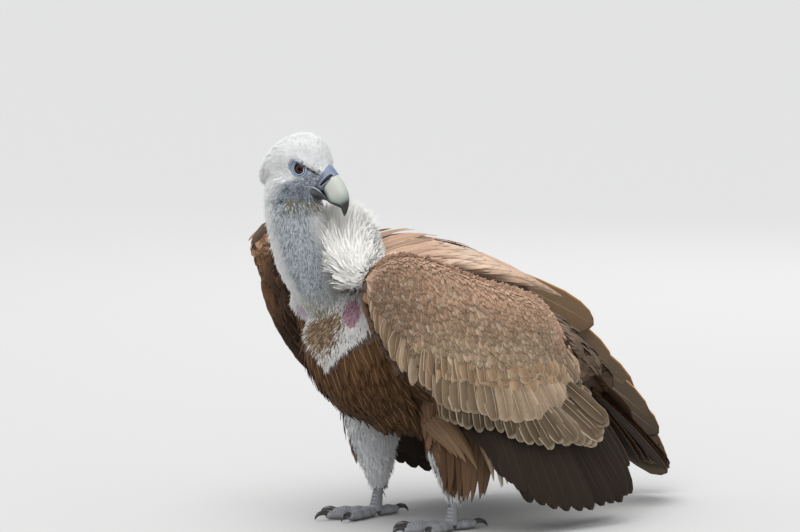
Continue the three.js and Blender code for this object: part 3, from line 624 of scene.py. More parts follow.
# Tips of the longer rows, as y and z on the wing's outer face.
MEDIAN_TIPS = [[-158, 222], [-140, 216], [-115, 216], [-91, 217], [-42, 210], [10, 210], [55, 205], [83, 197], [104, 190]]
LARGE_TIPS = [[-142, 200], [-112, 188], [-77, 179], [-42, 170], [10, 163], [45, 167], [76, 173], [100, 168]]
GREATER_TIPS = [[-136, 180], [-112, 166], [-77, 156], [-28, 143], [20, 131], [62, 127], [97, 127], [122, 122], [134, 138], [140, 160]]
LONG_ROWS = [
    # tips, count, half width, length, lift of the tips, colours from front to rear
    (MEDIAN_TIPS, 24, 10.5, 58, 7, [colour(122, 100, 78), colour(146, 120, 94), colour(164, 134, 106), colour(150, 128, 106)]),
    (MEDIAN_TIPS, 22, 11, 58, 7, [colour(128, 106, 84), colour(156, 128, 100), colour(174, 144, 114), colour(158, 136, 112)]),
    (LARGE_TIPS, 16, 14.5, 72, 9, [colour(104, 88, 68), colour(130, 112, 90), colour(174, 150, 126), colour(160, 138, 116)]),
    (GREATER_TIPS, 24, 11, 86, 6, [colour(70, 58, 44), colour(90, 77, 60), colour(104, 90, 72), colour(100, 84, 66)]),
]


def shades(palette, u):
    """Colours blended along a palette by u from 0 to 1."""
    palette = np.array(palette)
    return np.stack([np.interp(u, np.linspace(0, 1, len(palette)), palette[:, c]) for c in range(3)], axis=1)


def long_coverts():
    batches = []
    for k, (line, count, half, length, lift, palette) in enumerate(LONG_ROWS):
        u = (np.arange(count) + 0.5) / count
        spots = smooth_line(line, u)
        y = spots[:, 0] + draw.normal(size=count) * 1.6
        z = spots[:, 1] + draw.normal(size=count) * (5 if k < 2 else 2.4) + (13 if k == 0 else 0)
        along_y, along_z = lie_of(y)
        reach = length * (1 + 0.06 * draw.normal(size=count))
        roots = on_panel(y - along_y * reach, z - along_z * reach, -1)
        below = np.interp(y, arm_table[:, 1], arm_table[:, 2] - 0.8 * arm_table[:, 4])
        tips = on_panel(y, np.maximum(z, below), lift)
        tips[:, 2] = z
        if k == 3:
            tips[:, 0] = np.maximum(tips[:, 0], 187 + 0.02 * y)
        outs = np.tile([1.0, 0.04, -0.08], (count, 1)) + 0.05 * draw.normal(size=(count, 3))
        tints = shades(palette, u) * (1 + 0.12 * draw.normal(size=(count, 1)))
        batches.append(vanes(roots, tips, outs, half * 1.15, np.clip(tints, 0.01, 1), bulge=6, roll=0.12, camber=0.06,
                             thick=0.9, shape=ROUND, sway=2.0, ragged=0.06))
    return batches


covert_paint = feather_paint("covert_vane", colour(188, 164, 138), 0.05, colour(204, 186, 164), 0.22, 0.45, barbs=0.28, core=0.4)


def kept(batch, keep):
    """The blades of a batch that are kept."""
    return {name: value[keep] if isinstance(value, np.ndarray) else value for name, value in batch.items()}


def carried(batches):
    """The same feathers as the right wing has them, without those that would hang out before its front."""
    moved = []
    for batch in batches:
        batch = dict(batch)
        shape = batch["points"].shape
        batch["points"] = right_wing(batch["points"].reshape(-1, 3)).reshape(shape)
        batch["roots"] = right_wing(batch["roots"])
        batch["facing"] = batch["facing"] * [-1, 1, 1]
        y, z = batch["points"][..., 1], batch["points"][..., 2]
        front = np.interp(z, [130, 160, 187, 214, 236, 255, 277, 312], [-86, -107, -129, -146, -164, -191, -205, -225])
        seen_at = y + 0.577 * (batch["points"][..., 0] + 155)
        moved.append(kept(batch, ~((z < 300) & (seen_at < front - 3)).any(axis=1)))
    return moved


coverts_left = coat_piece("coverts_left", lesser_coverts(1, -236) + long_coverts(), covert_paint)
coverts_right = coat_piece("coverts_right", carried(lesser_coverts(1, -256, nose=15) + long_coverts()), covert_paint)
inside_paint = feather_paint("inside_vane", colour(84, 66, 54), 0.08, colour(132, 106, 86), 0.22, 0.6)
inside_left = coat_piece("coverts_inside_left", lesser_coverts(-1, -228), inside_paint)


def span_row(count, roots, tips, half, facing, palette, **finish):
    """A row of long vanes whose roots and tips follow smooth lines."""
    u = (np.arange(count) + 0.5) / count
    start = smooth_line(roots, u)
    end = smooth_line(tips, u)
    outs = smooth_line(facing, u) if np.ndim(facing) > 1 else np.tile(np.array(facing, float), (count, 1))
    step = finish.pop("step", 0.0) * np.arange(count)[:, None]
    start = start + unit(outs) * step
    end = end + unit(outs) * step + draw.normal(size=(count, 3)) * [0.6, 2.2, 2.2]
    tints = shades(palette, u) * (1 + 0.08 * draw.normal(size=(count, 1)))
    finish.setdefault("shape", FLIGHT)
    return vanes(start, end, outs, half, np.clip(tints, 0.005, 1), **finish)


# Long dark feathers close the right wing's front edge below.
far_edge = span_row(
    18, [[-147, -234, 345], [-149, -222, 312], [-151, -198, 264], [-151, -166, 232]],
    [[-151, -203, 282], [-153, -186, 250], [-155, -157, 218], [-155, -126, 182]],
    7, (1, -0.4, 0), [colour(112, 82, 60), colour(66, 49, 39), colour(50, 38, 31)], bulge=2, shape=LANCE, ragged=0.03,
)
inside_right = coat_piece("coverts_inside_right", carried(lesser_coverts(-1, -256, nose=15)) + [far_edge], inside_paint)


# ---- Flight feathers
# Long stiff quills: secondaries hang from each arm, primaries lie folded under them, and on the far
# wing broad inner feathers lie out over the rump and tail; their thin orange rims are painted light shining through.
BLACKISH = [colour(35, 28, 22), colour(46, 37, 30), colour(38, 31, 25)]
INNER_BROWN = [colour(116, 92, 68), colour(84, 71, 57), colour(70, 59, 48), colour(66, 57, 48), colour(84, 72, 58)]
secondaries = span_row(
    17, [[172, -112, 214], [174, -60, 200], [170, 0, 196], [164, 50, 206], [158, 88, 224]],
    [[184, -62, 146], [186, -32, 100], [186, 6, 60], [182, 58, 34], [175, 122, 28], [166, 175, 32], [150, 212, 44]],
    18, (1, 0.1, -0.05), BLACKISH, bulge=6, roll=0.13, thick=1.4, ragged=0.02,
)
under_secondaries = span_row(
    12, [[166, -110, 226], [168, -40, 204], [164, 30, 206], [154, 84, 222]],
    [[176, -42, 132], [178, 10, 72], [172, 80, 46], [158, 170, 52]],
    20, (-1, 0.1, -0.05), BLACKISH, bulge=2, roll=0.13, thick=1.2, ragged=0.02,
)
primaries = span_row(
    10, [[142, -190, 290], [139, -110, 224], [137, -30, 170], [133, 30, 142]],
    [[142, 60, 44], [140, 110, 30], [132, 170, 27], [118, 222, 34]],
    15, (1, 0.1, 0), [colour(30, 25, 22), colour(38, 31, 27)], bulge=3, roll=0.1, thick=1.5, ragged=0.02, step=-1.4,
)
right_primaries = span_row(
    9, [[141, -170, 270], [139, -90, 212], [137, -20, 168], [133, 26, 146]],
    [[122, 262, 48], [106, 314, 62], [84, 345, 82], [60, 368, 98], [44, 384, 116]],
    16, (0.8, 0, 0.6), [colour(34, 28, 24), colour(58, 49, 42)], bulge=3, roll=0.1, thick=1.5, ragged=0.02, step=2.2,
)
left_inner = span_row(
    13, [[158, 20, 264], [157, 30, 248], [157, 38, 232], [158, 44, 214]],
    [[156, 80, 266], [158, 97, 235], [159, 115, 206], [160, 129, 178], [160, 137, 154]],
    7.5, [[0.9, 0.1, 0.3], [1, 0.1, 0], [1, 0.1, 0]], [colour(128, 104, 82), colour(104, 87, 70), colour(92, 78, 62)],
    bulge=6, roll=0.12, ragged=0.03, step=-0.4,
)
right_inner = span_row(
    9, [[84, 70, 346], [96, 112, 330], [108, 140, 296], [116, 156, 264], [122, 166, 242], [124, 190, 220], [124, 200, 200]],
    [[58, 262, 286], [72, 325, 196], [54, 374, 136], [40, 394, 100], [34, 398, 74], [24, 406, 58], [26, 412, 36]],
    25, (-0.9, -0.3, 0.35), INNER_BROWN, bulge=10, roll=0.06, ragged=0.012, step=-2.5, curve=6, camber=0.05,
)
right_rear = span_row(
    5, [[128, 60, 300], [130, 70, 280], [134, 76, 262]],
    [[92, 300, 196], [90, 334, 150], [80, 358, 108]],
    26, (-0.9, -0.3, 0.35), [colour(60, 50, 40), colour(44, 38, 32)], bulge=10, roll=0.06, ragged=0.012, step=-2.5,
)
# These close the right wing behind, between its coverts and the inner feathers.
right_closing = span_row(
    16, [[168, -40, 354], [165, 6, 342], [158, 42, 318], [152, 66, 290], [148, 84, 258], [144, 92, 226]],
    [[126, 40, 362], [108, 104, 342], [108, 146, 304], [116, 170, 264], [124, 182, 226], [128, 188, 192]],
    15, [[0.3, 0, 1], [0.5, 0.1, 0.8], [0.8, 0.2, 0.4], [1, 0.2, 0.1]],
    [colour(176, 148, 122), colour(138, 114, 92), colour(98, 84, 68), colour(84, 72, 58)], bulge=5, roll=0.08, shape=ROUND,
    ragged=0.04, thick=1.0,
)
flight_paint = feather_paint("flight_vane", colour(66, 55, 46), 0.035, colour(72, 59, 48), 0.1, 0.7, barbs=0.22, rough=0.8)
# Their orange rim along one edge and the tip is painted light shining through the vane.
inner_paint = feather_paint("inner_vane", colour(150, 136, 118), 0.03, colour(202, 148, 96), 0.12, 0.6, barbs=0.2,
                            rough=0.7, one_side=True)


flight_left = coat_piece("flight_left", [secondaries, under_secondaries, primaries], flight_paint, sheet=True)
flight_right = coat_piece("flight_right", carried([secondaries, under_secondaries, right_primaries]), flight_paint,
                          sheet=True)
inner_left = coat_piece("inner_left", [left_inner], covert_paint, sheet=True)
closing_right = coat_piece("closing_right", carried([right_closing]), covert_paint, sheet=True)
inner_right = coat_piece("inner_right", carried([right_inner, right_rear]), inner_paint, sheet=True)


# ---- Tail
# A short wedge of blackish quills fans from the stump, with a tier of coverts over their roots.
TAIL_UP = np.array([0, 0.7, 0.72])


def tail_fan(count, start, end, drop, half, step, **finish):
    share = np.linspace(-1, 1, count)
    under = -step * (np.abs(share) * (count - 1) / 2 + 0.5 * (share < 0))
    roots = np.stack([start[0] * share, start[1] + 0 * share, start[2] + 0 * share], axis=1) + np.outer(under, TAIL_UP)
    tips = np.stack([end[0] * share, end[1] - drop * share**2, end[2] + 0 * share], axis=1) + np.outer(under, TAIL_UP)
    tips = tips + draw.normal(size=(count, 3)) * [1, 2, 2]
    return vanes(roots, tips, np.tile(TAIL_UP, (count, 1)), half, finish.pop("tints"), shape=FLIGHT, camber=0.04, **finish)


tail_quills = tail_fan(13, (15, 230, 182), (50, 364, 56), 26, 17, 2.0, tints=colour(66, 56, 48), bulge=8, thick=1.4, ragged=0.02)
tail_coverts = tail_fan(7, (13, 214, 202), (34, 296, 134), 12, 14, 1.4, tints=colour(96, 78, 62), bulge=10, ragged=0.04)
tail_upper = tail_fan(5, (11, 200, 214), (22, 256, 170), 8, 13, 1.2, tints=colour(120, 98, 78), bulge=10, ragged=0.04)
tail_feathers = coat_piece("tail_feathers", [tail_quills, tail_coverts, tail_upper], inner_paint, sheet=True)
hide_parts("tail")


# ---- Body feathers
# Pointed feathers lie over one another from the breast round to the rump: dark brown with pale shafts
# below, pinkish brown on the mantle, and long pale shoulder feathers that reach over the wings.
skin.data.calc_loop_triangles()
skin_tris = np.array([t.vertices[:] for t in skin.data.loop_triangles])
tri_middle = skin_places[skin_tris].mean(axis=1)
tri_sides = skin_places[skin_tris[:, 1:]] - skin_places[skin_tris[:, :1]]
tri_area = np.linalg.norm(np.cross(tri_sides[:, 0], tri_sides[:, 1]), axis=1) / 2
tri_facing = unit(skin_normals[skin_tris].mean(axis=1))
tri_owner = skin_owner[skin_tris[:, 0]]
head_middle = to_head(tri_middle)


def owned(*names):
    return np.isin(tri_owner, [SKIN_PARTS.index(name) for name in names])


def on_skin(where, density):
    """Random places on the skin where the mask holds, so many to a square millimetre, with normals."""
    weight = tri_area * where * density
    count = int(weight.sum())
    chosen = draw.choice(len(tri_area), size=count, p=weight / weight.sum())
    a, b = draw.random(count), draw.random(count)
    flip = a + b > 1
    a, b = np.where(flip, 1 - a, a)[:, None], np.where(flip, 1 - b, b)[:, None]
    corners = skin_tris[chosen]
    return tuple(
        table[corners[:, 0]] * (1 - a - b) + table[corners[:, 1]] * a + table[corners[:, 2]] * b
        for table in (skin_places, skin_normals)
    )


def spaced(places, gap):
    """Which places to keep so that none is nearer than gap to one already kept."""
    kept, grid = [], {}
    for i, (spot, cell) in enumerate(zip(places, np.floor(places / gap).astype(int))):
        x, y, z = cell
        near = [q for dx in (-1, 0, 1) for dy in (-1, 0, 1) for dz in (-1, 0, 1) for q in grid.get((x + dx, y + dy, z + dz), ())]
        if all((spot[0] - q[0]) ** 2 + (spot[1] - q[1]) ** 2 + (spot[2] - q[2]) ** 2 >= gap * gap for q in near):
            kept.append(i)
            grid.setdefault((x, y, z), []).append(spot)
    return np.array(kept)


def laid(normals, flow):
    """The flow turned to lie in the skin."""
    return unit(flow - normals * np.sum(normals * flow, axis=1, keepdims=True))


def body_flow(places):
    front = np.clip((-90 - places[:, 1]) / 90, 0, 1)[:, None]
    below = np.clip((230 - places[:, 2]) / 120, 0, 1)[:, None]
    flow = np.array([0, 1, -0.38]) * (1 - front) + np.array([0, 0.42, -0.9]) * front
    return flow + below * [0, 0.5, -0.25]


def feathers_on(where, gap, length, half, tints, flow, lift=4.0, bulge=2.0, shape=LANCE, ragged=0.08, thick=0.5, **finish):
    places, normals = on_skin(where, 6.0 / gap**2)
    keep = spaced(places, gap)
    places, normals = places[keep], normals[keep]
    way = laid(normals, flow(places) + 0.12 * draw.normal(size=places.shape))
    reach = length * (1 + 0.12 * draw.normal(size=len(places)))
    ahead = places + way * reach[:, None]
    # The tip follows the skin's curve, a little clear of it.
    tips = []
    for p in ahead:
        near, normal, face, distance = skin_tree.find_nearest(Vector(in_frame(p)))
        surface = np.array(near) * 1000 - frame_shift
        height = float(np.dot(p - surface, normal))
        tips.append([*(surface + np.array(normal) * min(max(height, lift), lift + 4)), abs(height)])
    tips = np.array(tips)
    near = tips[:, 3] < 26
    places, normals, tips = places[near], normals[near], tips[near, :3]
    colours = tints(places) if callable(tints) else np.tile(tints, (len(places), 1))
    colours = np.clip(colours * (1 + 0.13 * draw.normal(size=(len(places), 1))), 0.004, 1)
    return vanes(places - normals * 2, tips, normals + 0.1 * draw.normal(size=places.shape), half, colours,
                 bulge=bulge, shape=shape, section=SLIM, ragged=ragged, thick=thick, camber=0.04, **finish)


def breast_tint(places):
    dark, warm = np.array(colour(56, 38, 23)), np.array(colour(88, 61, 37))
    share = np.clip((places[:, 2:3] - 200) / 120, 0, 1) * 0.6 + 0.25 * draw.random((len(places), 1))
    return dark * (1 - share) + warm * share


def back_tint(places):
    mantle, rump = np.array(colour(186, 148, 126)), np.array(colour(104, 86, 72))
    share = np.clip((places[:, 1:2] + 60) / 160, 0, 1)
    return mantle * (1 - share) + rump * share


x, y, z = tri_middle.T
torso_table = smooth_line(TORSO, np.linspace(0, 1, 200))
torso_rise = (z - np.interp(y, torso_table[:, 1], torso_table[:, 2])) / np.interp(y, torso_table[:, 1], torso_table[:, 4])
upper_back = owned("torso") & (torso_rise > 0.36) & (y > -186)
CHEST_EDGE = ([-80, -45, -15, 10, 18, 24, 100], [325, 305, 288, 270, 256, 232, 327])
CHEST_WHITE = (y < -130) & (z > np.interp(x, *CHEST_EDGE)) & (z < 345 + 2 * np.clip(-150 - y, 0, 60))
upper_back &= ~CHEST_WHITE
lower_torso = owned("torso") & ~upper_back & ~CHEST_WHITE & (y < 130)
rump = owned("torso") & ~upper_back & (y >= 130)
breast_paint = feather_paint("breast_vane", colour(128, 100, 70), 0.15, colour(104, 78, 52), 0.2, 0.5)
mantle_paint = feather_paint("mantle_vane", colour(212, 184, 160), 0.07, colour(222, 196, 178), 0.24, 0.5)
breast = feathers_on(lower_torso, 7.9, 46, 7.0, breast_tint, body_flow)
# Longer ones hang from the belly between the legs.
places, normals = on_skin(owned("torso") & (z < 186) & (y > -146) & (y < -24) & (np.abs(x) < 84), 0.05)
hang = spaced(places, 8.0)
places, normals = places[hang], normals[hang]
tips = places + [0, 22, 0] + 5 * draw.normal(size=places.shape)
lowest = 150 - 32 * np.clip((places[:, 1] + 146) / 50, 0, 1) + 24 * draw.random(len(places))
tips[:, 2] = np.minimum(places[:, 2] - 24, lowest)
belly = vanes(places - normals * 2, tips, normals + [0.2, -0.3, 0.1], 6.6, breast_tint(places), bulge=2,
              shape=LANCE, section=SLIM, ragged=0.08, thick=0.5)
vent = feathers_on(rump, 12, 46, 10, colour(98, 82, 68), body_flow, shape=ROUND, ragged=0.03)
mantle = feathers_on(upper_back & (y < 140), 9.5, 44, 7.5, back_tint, body_flow, lift=5)
back = feathers_on(upper_back & (y >= 140), 12, 46, 11, colour(92, 79, 68), body_flow, lift=4, shape=ROUND, ragged=0.03)


def on_torso(t, angle, lift=0.0):
    """A place on the torso. Its crest rises towards the neck, under the ruff."""
    rows = smooth_line(TORSO, t)
    crest = 26 * np.clip((0.36 - t) / 0.16, 0, 1)
    return np.stack([rows[:, 0] + (rows[:, 3] + lift) * np.cos(angle), rows[:, 1],
                     rows[:, 2] + (rows[:, 4] + lift + crest) * np.sin(angle)], axis=1)


# where along the torso, angle up round it, count, half width, bulge, tips of the left side's shoulder rows
SHOULDER_ROWS = [
    (0.2, 0.42, 44, 50, 8, 10, 24, [[150, -112, 398], [163, -58, 388], [167, 0, 370], [160, 54, 342]]),
    (0.2, 0.46, 52, 54, 8, 9, 24, [[134, -110, 410], [148, -40, 393], [150, 30, 361], [140, 88, 333]]),
    (0.2, 0.52, 60, 62, 8, 9, 21, [[116, -96, 420], [130, -14, 383], [128, 60, 351], [112, 124, 320]]),
    (0.2, 0.58, 68, 70, 8, 9, 19, [[84, -86, 423], [102, 0, 383], [98, 84, 343], [82, 146, 314]]),
    (0.2, 0.62, 80, 80, 7, 9.5, 20, [[50, -82, 422], [66, 12, 384], [62, 92, 345], [48, 156, 316]]),
    (0.2, 0.64, 89, 90, 5, 9.5, 20, [[8, -76, 424], [14, 18, 393], [12, 96, 352], [8, 160, 320]]),
]
SHOULDER_TINTS = [colour(166, 134, 112), colour(206, 182, 162), colour(186, 158, 136), colour(138, 112, 92)]
shoulders = []
for start, end, low, high, count, half, bulge, tips in SHOULDER_ROWS:
    for layer in range(3):
        n = count + 3 - layer
        u = (np.arange(n) + 0.5 * draw.random(n) + 0.2) / n
        t = start + (end - start) * u - 0.02 * layer
        angle = np.radians(low + (high - low) * u)
        roots = on_torso(t, angle, -1)
        ends = smooth_line(tips, u)
        ends = ends + (roots - ends) * (0.2 * layer + 0.08 * draw.random((n, 1)))
        outs = unit(on_torso(t, angle, 5) - roots) * 0.5 + np.array([0.62 * (ends[0, 0] > 40), -0.1, 0.45])
        tints = np.clip(shades(SHOULDER_TINTS, u) * (1 + 0.14 * draw.normal(size=(n, 1))), 0, 1)
        for sign in (1, -1):
            flip = np.array([sign, 1, 1])
            shoulders.append(vanes(roots * flip, ends * flip, outs * flip, half * 1.1, tints, bulge=bulge * (1.1 - 0.9 * u) + layer,
                                   roll=0.1 * sign, shape=LANCE, ragged=0.05, sway=1.6, thick=0.8, camber=0.05))
    # Short feathers cover the front of each row.
    for step in range(3):
        n = count
        u = (np.arange(n) + draw.random(n)) / n * 0.62
        angle = np.radians(low + (high - low) * u)
        base = on_torso(start + (end - start) * u, angle, -1)
        reach = smooth_line(tips, u) - base
        outs = unit(on_torso(start + (end - start) * u, angle, 5) - base) * 0.5 + np.array([0.62 * (tips[0][0] > 40), -0.1, 0.45])
        begin = 0.04 + 0.16 * step + 0.08 * draw.random(n)
        stop = begin + 34 / np.linalg.norm(reach, axis=1)
        heights = [2 * at * (1 - at) * bulge * (1.1 - 0.9 * u) / 2 + lift for at, lift in ((begin, 1.2), (stop, 2.2))]
        roots = base + reach * begin[:, None] + unit(outs) * heights[0][:, None]
        ends = base + reach * stop[:, None] + unit(outs) * heights[1][:, None]
        tints = np.clip(shades([colour(150, 118, 96), colour(186, 158, 136)], u) * (1 + 0.16 * draw.normal(size=(n, 1))), 0, 1)
        for sign in (1, -1):
            flip = np.array([sign, 1, 1])
            shoulders.append(vanes(roots * flip, ends * flip, outs * flip, 5.8, tints, bulge=1.5, roll=0.06 * sign, shape=LEAF,
                                   ragged=0.04, sway=1.5, thick=0.6, camber=0.05))
breast_feathers = coat_piece("breast_feathers", [breast, belly, vent, back], breast_paint)
mantle_feathers = coat_piece("mantle_feathers", [mantle], mantle_paint)
shoulder_feathers = coat_piece("shoulder_feathers", shoulders, mantle_paint)


# The arms' own small feathers, under and between the rows, also round the wing's front and inside.
def arm_tint(places):
    inside = (np.abs(places[:, 0]) < 160)[:, None]
    share = np.clip((places[:, 2:3] - 260) / 110, 0, 1)
    outer = np.array(colour(96, 76, 60)) * (1 - share) + np.array(colour(146, 116, 94)) * share
    return np.where(inside, inside_tint(places[:, 1], places[:, 2]), outer)


def arm_flow(places):
    along_y, along_z = lie_of(np.maximum(places[:, 1], -170))
    return np.stack([0 * along_y, along_y, along_z], axis=1)


for name in ("arm_left", "arm_right"):
    coat = feathers_on(owned(name), 8.0, 24, 5.4, arm_tint, arm_flow, lift=1.0, shape=LEAF, bulge=0.5, thick=0.3)
    coat_piece(name + "_feathers", [coat], inside_paint)


# ---- Ruff, neck and head down
# A thick collar of long soft white plumes stands round the back of the neck, dark at its lower edge.
# Short down covers the neck and head, mottled grey over bluish skin on the throat and cheeks.
def both_sides(half, centre):
    return half + [centre] + [[-row[0], *row[1:]] for row in reversed(half)]


# Where the plumes' tips lie, by the angle round the ruff's core that they grow from; the last ones lean
# against the neck.
RUFF_TIPS = {
    -95: both_sides([[74, -236, 345], [98, -202, 347], [84, -150, 364], [46, -122, 378]], [0, -110, 382]),
    -60: both_sides([[70, -240, 348], [99, -202, 351], [82, -152, 370], [46, -124, 384]], [0, -112, 388]),
    -35: both_sides([[66, -243, 352], [99, -203, 358], [80, -158, 388], [44, -138, 402]], [0, -120, 408]),
    6: both_sides([[64, -245, 358], [97, -206, 372], [78, -164, 402], [42, -150, 418]], [0, -128, 426]),
    46: both_sides([[62, -245, 367], [86, -204, 394], [70, -170, 426], [40, -148, 442]], [0, -136, 448]),
    84: both_sides([[56, -244, 378], [74, -212, 410], [56, -176, 442], [30, -158, 456]], [0, -150, 460]),
    125: both_sides([[50, -243, 387], [60, -220, 424], [46, -190, 458], [26, -172, 470]], [0, -164, 473]),
    165: both_sides([[46, -244, 376], [45, -247, 416], [32, -237, 450], [14, -206, 468]], [0, -194, 474]),
    205: both_sides([[44, -240, 360], [44, -240, 392], [34, -226, 424], [18, -204, 440]], [0, -200, 446]),
}
ruff_line = both_sides(RUFF_CORE[0], RUFF_CORE[1])
RUFF_SIDE = np.array([0, 0.94, 0.34])


def on_ruff(t, angle, lift=0.0):
    rows = smooth_line(ruff_line, t)
    ahead = unit(smooth_line(ruff_line, np.minimum(t + 0.01, 1))[:, :3] - smooth_line(ruff_line, np.maximum(t - 0.01, 0))[:, :3])
    up = unit(np.cross(RUFF_SIDE, ahead))
    across = unit(np.cross(ahead, up))
    return (rows[:, :3] + across * ((rows[:, 3] + lift) * np.cos(angle))[:, None]
            + up * ((rows[:, 4] + lift) * np.sin(angle))[:, None])


def ruff_plumes(count, half, reach, spread, **finish):
    t = draw.random(count) * 0.98 + 0.01
    turn = draw.random(count) * 300 - 95
    roots = on_ruff(t, np.radians(turn), -2)
    lines = np.stack([smooth_line(tips, t) for tips in RUFF_TIPS.values()], axis=1)
    ends = np.stack([[np.interp(a, list(RUFF_TIPS), line[:, c]) for c in range(3)] for a, line in zip(turn, lines)])
    ends = roots + (ends - roots) * (reach * (1 - 0.25 * draw.random((count, 1)))) + spread * draw.normal(size=(count, 3))
    outs = unit(on_ruff(t, np.radians(turn), 5) - roots + [0, 0, 1.5])
    dark = (turn < -48) & (np.abs(t - 0.5) > 0.36)
    white = np.array(colour(253, 251, 245)) * (1 - 0.08 * draw.random((count, 1)))
    barred = dark & (draw.random(count) < 0.6)
    tints = np.where(barred[:, None], np.array(colour(112, 90, 72)), white)
    plumes = vanes(roots, ends, outs, half, tints, bulge=10, section=SLIM, ragged=0.16, sway=4, **finish)
    # They are shaded as one soft mass that faces up and forward.
    lean = np.stack([0.35 * np.sign(roots[:, 0]), np.full(count, -0.3), np.full(count, 0.75)], axis=1)
    plumes["facing"] = unit(plumes["facing"] * 0.75 + lean)
    return plumes


DOWN = [(0, 0.7), (0.5, 1)]
LOCK = [(0, 0.6), (0.35, 1), (0.75, 0.62)]
STRAND = [(-1, 0), (0, 1), (1, 0)]


def down_paint(name, rough=0.95, grain=0.08, shade=0.86):
    """Soft down: its own tint, a little darker at the root as painted shade, with a faint sheen."""
    paint = bpy.data.materials.new(name)
    paint.use_nodes = True
    tree = paint.node_tree
    shader = tree.nodes["Principled BSDF"]
    shader.inputs["Roughness"].default_value = rough
    shader.inputs["Specular IOR Level"].default_value = 0.1
    shader.inputs["Sheen Weight"].default_value = 0.25
    shader.inputs["Subsurface Weight"].default_value = 0.35
    shader.inputs["Subsurface Radius"].default_value = (1, 1, 1)
    shader.inputs["Subsurface Scale"].default_value = 0.006
    tint = tree.nodes.new("ShaderNodeAttribute")
    tint.attribute_name = "tint"
    span = tree.nodes.new("ShaderNodeAttribute")
    span.attribute_name = "span"
    parts = tree.nodes.new("ShaderNodeSeparateXYZ")
    tree.links.new(span.outputs["Vector"], parts.inputs[0])
    # Painted shade: darker towards the root, deep in the down.
    deep = reckon(tree, "MULTIPLY_ADD", reckon(tree, "MULTIPLY", parts.outputs[0], 1.8, clamp=True), 1 - shade, shade)
    lit = reckon(tree, "MULTIPLY", deep, reckon(tree, "MULTIPLY_ADD", parts.outputs[2], grain, 1 - grain))
    node = tree.nodes.new("ShaderNodeVectorMath")
    node.operation = "SCALE"
    tree.links.new(tint.outputs["Color"], node.inputs[0])
    tree.links.new(lit, node.inputs["Scale"])
    tree.links.new(node.outputs[0], shader.inputs["Base Color"])
    return paint


def tufts_on(where, density, length, half, tints, flow, stand=0.35, shape=DOWN, rough=0.25, thick=0.7):
    """Small tufts that lie along the flow and stand a little off the skin."""
    places, normals = on_skin(where, density)
    way = laid(normals, flow(places) + rough * draw.normal(size=places.shape))
    lengths = (length(places) if callable(length) else length) * (1 + 0.2 * draw.normal(size=len(places)))
    rise = stand + 0.12 * draw.normal(size=len(places))
    tips = places + (way * np.cos(rise)[:, None] + normals * np.sin(rise)[:, None]) * lengths[:, None]
    colours = np.clip(tints(places) * (1 + 0.05 * draw.normal(size=(len(places), 1))), 0, 1)
    return vanes(places - normals * 1.0, tips, normals, half, colours, bulge=0.12 * lengths, camber=0.0, shape=shape,
                 section=STRAND, ragged=0.1, thick=thick)


WHITE_DOWN = np.array(colour(248, 249, 248))
SLATE_DOWN = np.array(colour(128, 136, 144))
PALE_SLATE = np.array(colour(218, 225, 232))
OLIVE_DOWN = np.array(colour(150, 142, 112))


def throat_share(places):
    """How much of the throat's grey a place on the neck has, from its bearing round the neck."""
    x, y, z = places.T
    middle = smooth_line(NECK, np.interp(z, [296, 332, 359, 387, 417, 447, 475, 502], np.linspace(0, 1, 8)))
    bearing = np.degrees(np.arctan2(y - middle[:, 1], x - middle[:, 0]))
    throat = np.interp(z, [330, 385, 434, 500], [-36, -26, -40, -30])
    wide = np.interp(z, [330, 385, 434, 500], [44, 56, 54, 50])
    return np.clip((wide - np.abs((bearing - throat + 180) % 360 - 180)) / 20, 0, 1)


def neck_tint(places):
    grey = throat_share(places)[:, None]
    dark = draw.random((len(places), 1)) < 0.38 * grey
    mottled = np.where(dark, SLATE_DOWN * (0.8 + 0.9 * draw.random((len(places), 1))), PALE_SLATE)
    tint = WHITE_DOWN * (1 - grey) + mottled * grey
    chin = np.clip((places[:, 2:3] - 450) / 10, 0, 1) * np.clip(to_head(places)[:, 1:2] / 12, 0, 1)
    fuzz = chin * (draw.random((len(places), 1)) < 0.5)
    tint = tint * (1 - fuzz) + np.array(colour(116, 112, 88)) * fuzz
    low = np.clip((350 - places[:, 2:3]) / 30, 0, 1)
    return tint * (1 - low) + np.where(draw.random((len(places), 1)) < 0.5, OLIVE_DOWN, WHITE_DOWN) * low


def neck_flow(places):
    return np.tile([0.0, 0.06, -1.0], (len(places), 1))


def cheek_share(places):
    """How much a place on the face has of the cheek's grey, below and before the eye and down to the jaw."""
    r, f, h = to_head(places).T
    low = np.clip((-9 - h - 0.8 * np.clip(8 - f, 0, 60)) / 7, 0, 1)
    lores = np.clip((f - 9) / 6, 0, 1) * np.clip((7 - h) / 5, 0, 1)
    return np.maximum(low * np.clip((f + 25) / 22, 0, 1), lores)


